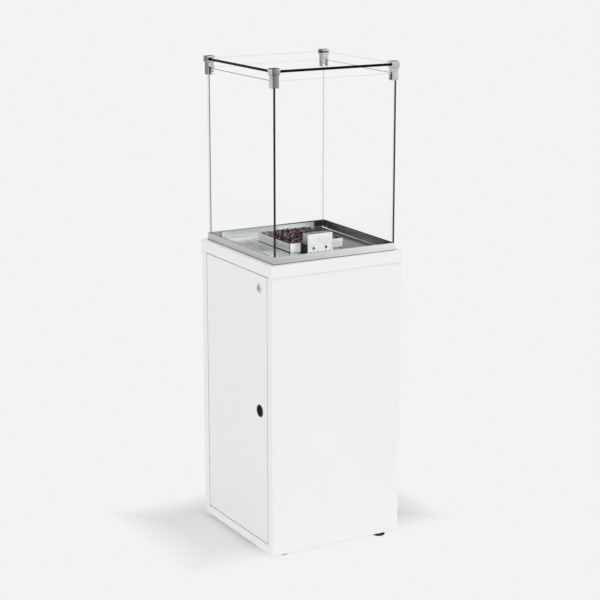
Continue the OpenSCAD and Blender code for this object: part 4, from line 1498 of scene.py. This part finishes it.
@dataclass
class StoneHeap:
    """The porous stones in the burner box, with chips and crumbs among them.

    Attributes:
        crag: how far a stone's faces are thrown up and down.
        crag_size: how wide such a crag is.
        pit: how deep its smaller pits are.
        pit_size: how wide a pit is.
        chip: the middle radius of a chip.
        chips: the number of chips on a square metre of the stones' upper sides.
        crumb: the middle radius of a crumb.
        crumbs: the number of crumbs on a square metre.
        flat: the least upward part of the normal where they lie.
        vary: the smallest and largest chip or crumb, in the middle radius.
        squash: the smallest and largest stretch of a stone along its own axes.
        grown: the reaches of the smallest and of the full-sized stone.
        least: the share of the crags on the smallest stone.
        sunk: how deep chips and crumbs lie in the stones, in their own radius.
        seed: the seed of every random choice.
    """

    crag: float = 3.4 * MM
    crag_size: float = 9 * MM
    pit: float = 1.4 * MM
    pit_size: float = 3 * MM
    chip: float = 4.6 * MM
    chips: float = 3400.0
    crumb: float = 2.4 * MM
    crumbs: float = 8000.0
    flat: float = 0.35
    vary: Span = (0.65, 1.35)
    squash: Span = (0.72, 1.12)
    grown: Span = (1 * MM, 9 * MM)
    least: float = 0.15
    sunk: float = 0.4
    seed: int = 3

    def build(self, shop: Workshop) -> None:
        """Put rough stones in the place of the plain ones.

        Args:
            shop: the workshop.
        """
        low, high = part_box("lava_stones")
        piece = shop.merged_copy("lava_stones", "rough_stones")
        hearts = self.mark_hearts(piece.data)
        sizes = {
            "Crag": self.crag,
            "Pit": self.pit,
            "Chip": self.chip,
            "Chips": self.chips,
            "Crumb": self.crumb,
            "Crumbs": self.crumbs,
            "Middle": sum(heart.z for heart in hearts) / len(hearts),
        }
        self.heap(tuple(sizes), shop.palette.lava).run(piece, {**sizes, "Low": low, "High": high})
        shop.stand_in(piece, "lava_stones")

    def mark_hearts(self, mesh: bpy.types.Mesh) -> list[Vector]:
        """Add a loose point at the heart of each plain stone, with the stone's radius as its reach.

        Args:
            mesh: the plain stones.

        Returns:
            The hearts.
        """
        shape = bmesh.new()
        shape.from_mesh(mesh)
        reach = shape.verts.layers.float.new("reach")
        hearts = []
        for stone in islands(shape):
            low, high = corners_of(corner.co for corner in stone)
            heart = shape.verts.new((low + high) / 2)
            heart[reach] = sum(high - low) / 6
            hearts.append(heart.co.copy())
        shape.to_mesh(mesh)
        shape.free()
        return hearts

    def heap(self, sizes: Iterable[str], rock: Finish) -> Former:
        """Build the geometry tree that turns the plain stones and their hearts into the rough heap.

        Args:
            sizes: the names of its number inputs.
            rock: the stones' finish.

        Returns:
            The tree.
        """
        former = Former("stone_heap", sizes, ("Low", "High"), self.seed * 100)
        given = former.given
        upper = former.calculate("GREATER_THAN", former.height_of(former.position()), given["Middle"])
        marked = former.calculate("GREATER_THAN", former.named("reach"), 0.1 * MM)
        split = "GeometryNodeSeparateGeometry"
        hearts = former.node(split, Geometry=given["Geometry"], Selection=marked).outputs
        layers = former.node(split, Geometry=hearts["Selection"], Selection=upper).outputs
        parts = [
            self.scatter(former, layers["Selection"], 3, 1),
            self.scatter(former, layers["Inverted"], 2, 2),
        ]
        for title, count, level, draw in (("Chip", "Chips", 2, 3), ("Crumb", "Crumbs", 1, 4)):
            points = self.strew(former, hearts["Inverted"], upper, given[count], given[title], draw)
            parts.append(self.scatter(former, points, level, draw + 4))
        joined = former.node("GeometryNodeJoinGeometry")
        for part in reversed(parts):
            former.fill(joined.inputs[0], part)
        rough = self.roughen(former, former.real(joined.outputs[0]))
        former.end(self.crowned(former, rough), rock)
        return former

    def scatter(self, former: Former, points: Socket, level: int, draw: int) -> Socket:
        """Put a turned and stretched ball on each point, by the reach stored there.

        Args:
            former: the tree.
            points: the points.
            level: how finely the ball is divided.
            draw: the number of the first random draw.

        Returns:
            The socket of the instances, with their heart's height and their tone stored.
        """
        ball = former.out("GeometryNodeMeshIcoSphere", Radius=1.0, Subdivisions=level)
        turn = former.random((0.0,) * 3, (math.tau,) * 3, draw)
        stretch = former.random(*((end,) * 3 for end in self.squash), draw + 10)
        size = former.scaled(stretch, former.named("reach"))
        laid = former.out("GeometryNodeInstanceOnPoints", points, Instance=ball, Rotation=turn, Scale=size)
        shape = former.store(laid, "heart", former.height_of(former.position()), "INSTANCE")
        return former.store(shape, "tone", former.random(0.0, 1.0, draw + 20), "INSTANCE")

    def strew(
        self, former: Former, plain: Socket, upper: Socket, count: Socket, radius: Socket, draw: int
    ) -> Socket:
        """Strew points over the upper sides of the plain stones, each with a reach of its own.

        Args:
            former: the tree.
            plain: the plain stones.
            upper: the field that picks the upper layer.
            count: the number of points on a square metre.
            radius: the middle reach.
            draw: the number of the first random draw.

        Returns:
            The points' socket.
        """
        flat = former.calculate("GREATER_THAN", former.height_of(former.normal()), self.flat)
        chosen = former.calculate("MULTIPLY", flat, upper)
        seed = former.seed + draw
        strewn = former.out(
            "GeometryNodeDistributePointsOnFaces", Mesh=plain, Density=count, Selection=chosen, Seed=seed
        )
        reach = former.calculate("MULTIPLY", radius, former.random(*self.vary, draw + 30))
        points = former.store(strewn, "reach", reach)
        depth = former.calculate("MULTIPLY", former.named("reach"), -self.sunk)
        return former.moved(points, Offset=former.out("ShaderNodeCombineXYZ", Z=depth))

    def roughen(self, former: Former, shape: Socket) -> Socket:
        """Throw the faces into crags and pits, and keep them inside the heap's box.

        Args:
            former: the tree.
            shape: the stones, made real.

        Returns:
            The geometry's socket.
        """
        shift = former.out("ShaderNodeCombineXYZ", X=float(self.seed))
        place = former.vectors("ADD", former.position(), shift)
        share = former.spread(former.named("reach"), *self.grown, self.least, 1.0)
        thrown = former.position()
        for size, title in ((self.crag_size, "Crag"), (self.pit_size, "Pit")):
            noise = former.out("ShaderNodeTexNoise", Vector=place, Scale=1 / size, Detail=2.0)
            centred = former.calculate("SUBTRACT", noise, 0.5)
            widest = former.calculate("MULTIPLY", former.given[title], 4.0)
            depth = former.calculate("MULTIPLY", centred, former.calculate("MULTIPLY", widest, share))
            thrown = former.vectors("ADD", thrown, former.scaled(former.normal(), depth))
        below = former.vectors("MINIMUM", thrown, former.given["High"])
        return former.moved(shape, Position=former.vectors("MAXIMUM", below, former.given["Low"]))

    def crowned(self, former: Former, shape: Socket) -> Socket:
        """Store how high each point lies on its own stone, from -1 to 1."""
        above = former.calculate("SUBTRACT", former.height_of(former.position()), former.named("heart"))
        return former.store(shape, "crown", former.calculate("DIVIDE", above, former.named("reach")))


@dataclass
class GasTrain:
    """The gas and spark parts inside the cabinet, with the controls behind the door."""

    def build(self, shop: Workshop) -> None:
        """Dress every part of the gas train.

        Args:
            shop: the workshop.
        """
        finishes = shop.palette
        shop.dress(finishes.zinc, "control_panel", "injector_bracket")
        shop.dress(finishes.copper, "gas_pipe", "pilot_pipe", "thermocouple")
        shop.dress(finishes.brass, "burner_injector", "gas_inlet")
        shop.dress(finishes.casting, "gas_valve")
        shop.dress(finishes.plastic, "control_knob", "igniter_housing")
        shop.dress(finishes.button, "igniter_button")


@dataclass(frozen=True)
class Viewpoint:
    """The photograph's camera.

    Attributes:
        place: where it stands.
        yaw: degrees that it is turned from +Y towards +X.
        pitch: degrees that it looks down.
        focal_px: its focal length in pixels of the photograph.
        frame_px: the photograph's width.
        sensor_mm: the sensor's width.
        clip: the nearest and farthest distance that it shows.
    """

    place: tuple[float, float, float] = (-2.616, -4.548, 2.067)
    yaw: float = 29.9
    pitch: float = 14.0
    focal_px: float = 1700.0
    frame_px: float = 600.0
    sensor_mm: float = 36.0
    clip: Span = (0.1, 500.0)

    def build(self) -> None:
        """Make the camera and hand it to the scene."""
        data = bpy.data.cameras.new("camera")
        data.sensor_width = self.sensor_mm
        data.lens = self.focal_px / self.frame_px * self.sensor_mm
        data.clip_start, data.clip_end = self.clip
        camera = placed("camera", data)
        camera.location = self.place
        camera.rotation_euler = (math.radians(90 - self.pitch), 0.0, math.radians(-self.yaw))
        bpy.context.scene.camera = camera


@dataclass(frozen=True)
class Lamp:
    """A distant soft lamp.

    Attributes:
        name: its name.
        towards: the direction from the object to the lamp.
        share: the part of white that it gives a surface that faces it.
        width: the angle it fills, in degrees; a wider lamp casts softer shadows.
    """

    name: str
    towards: tuple[float, float, float]
    share: float
    width: float

    def build(self) -> None:
        """Hang the lamp."""
        data = bpy.data.lights.new(self.name, "SUN")
        data.energy = self.share * math.pi
        data.angle = math.radians(self.width)
        lamp = placed(self.name, data)
        lamp.rotation_mode = "QUATERNION"
        lamp.rotation_quaternion = Vector(self.towards).to_track_quat("Z", "Y")


@dataclass(frozen=True)
class Studio:
    """The pale floor, the background and the soft light.

    Attributes:
        background: the background's brightness in the picture, linear.
        shown_to: the rays that see it: the camera's own, and those off metal and through glass.
        sky: the brightness of the light from all round.
        floor: the floor's own colour.
        glow: the share of the shadow that is lit from within.
        shade: the part of the floor that takes the object's shadow; the rest is lit from within, as a
            light table is.
        feather: how far inside that part the shadow is full.
        reach: the floor's radius.
        sides: the number of the floor's sides.
        lamps: the lamps.
    """

    background: float = 0.896
    shown_to: tuple[str, ...] = ("Camera", "Glossy", "Transmission")
    sky: float = 0.55
    floor: float = 0.8
    glow: float = 0.3
    shade: Zone = ((-0.52, -0.22, -1.0), (0.48, 0.42, 1.0))
    feather: float = 0.15
    reach: float = 120.0
    sides: int = 96
    lamps: tuple[Lamp, ...] = (
        Lamp("key", (0.35, -0.81, 0.47), 0.273, 50.0),
        Lamp("fill", (-0.8, -0.37, 0.47), 0.365, 60.0),
    )

    def build(self) -> None:
        """Lay the floor, fill the background and hang the lamps."""
        self.lay_floor()
        self.fill_background()
        for lamp in self.lamps:
            lamp.build()
        bpy.context.scene.view_settings.view_transform = "Standard"

    def lay_floor(self) -> None:
        """Make the floor, a plain disc that keeps the object's shadow."""
        shape = bmesh.new()
        bmesh.ops.create_circle(shape, cap_ends=True, segments=self.sides, radius=self.reach)
        floor = placed("floor", mesh_of(shape, "floor"))
        material = bpy.data.materials.new("studio_floor")
        floor.data.materials.append(material)
        graph = Graph(cleared_tree(material))
        matt = graph.out("ShaderNodeBsdfDiffuse", grey(self.floor))
        lit = graph.out("ShaderNodeEmission", grey(1.0), self.background)
        place = graph.node("ShaderNodeTexCoord").outputs["Object"]
        glow = graph.spread(graph.depth_inside(place, self.shade), 0.0, self.feather, 1.0, self.glow)
        share = graph.calculate("MULTIPLY", graph.rays(*self.shown_to), glow)
        graph.node("ShaderNodeOutputMaterial", graph.out("ShaderNodeMixShader", share, matt, lit))

    def fill_background(self) -> None:
        """Make the world: soft light all round, and the background for the camera, metal and glass."""
        world = bpy.data.worlds.new("studio")
        bpy.context.scene.world = world
        graph = Graph(cleared_tree(world))
        light, shown = (
            graph.out("ShaderNodeBackground", grey(1.0), strength)
            for strength in (self.sky, self.background)
        )
        mixed = graph.out("ShaderNodeMixShader", graph.rays(*self.shown_to), light, shown)
        graph.node("ShaderNodeOutputWorld", mixed)


def main() -> None:
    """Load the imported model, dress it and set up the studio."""
    logging.basicConfig(level=logging.INFO, format="%(name)s: %(message)s")
    shop = Workshop(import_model())
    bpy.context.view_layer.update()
    Viewpoint().build()
    for kind in (Cabinet, Door, Feet, TopTray, Glazing, Clamps, Burner, StoneHeap, GasTrain):
        kind().build(shop)
        LOG.info("%s done", kind.__name__)
    Studio().build()


if __name__ == "__main__":
    main()
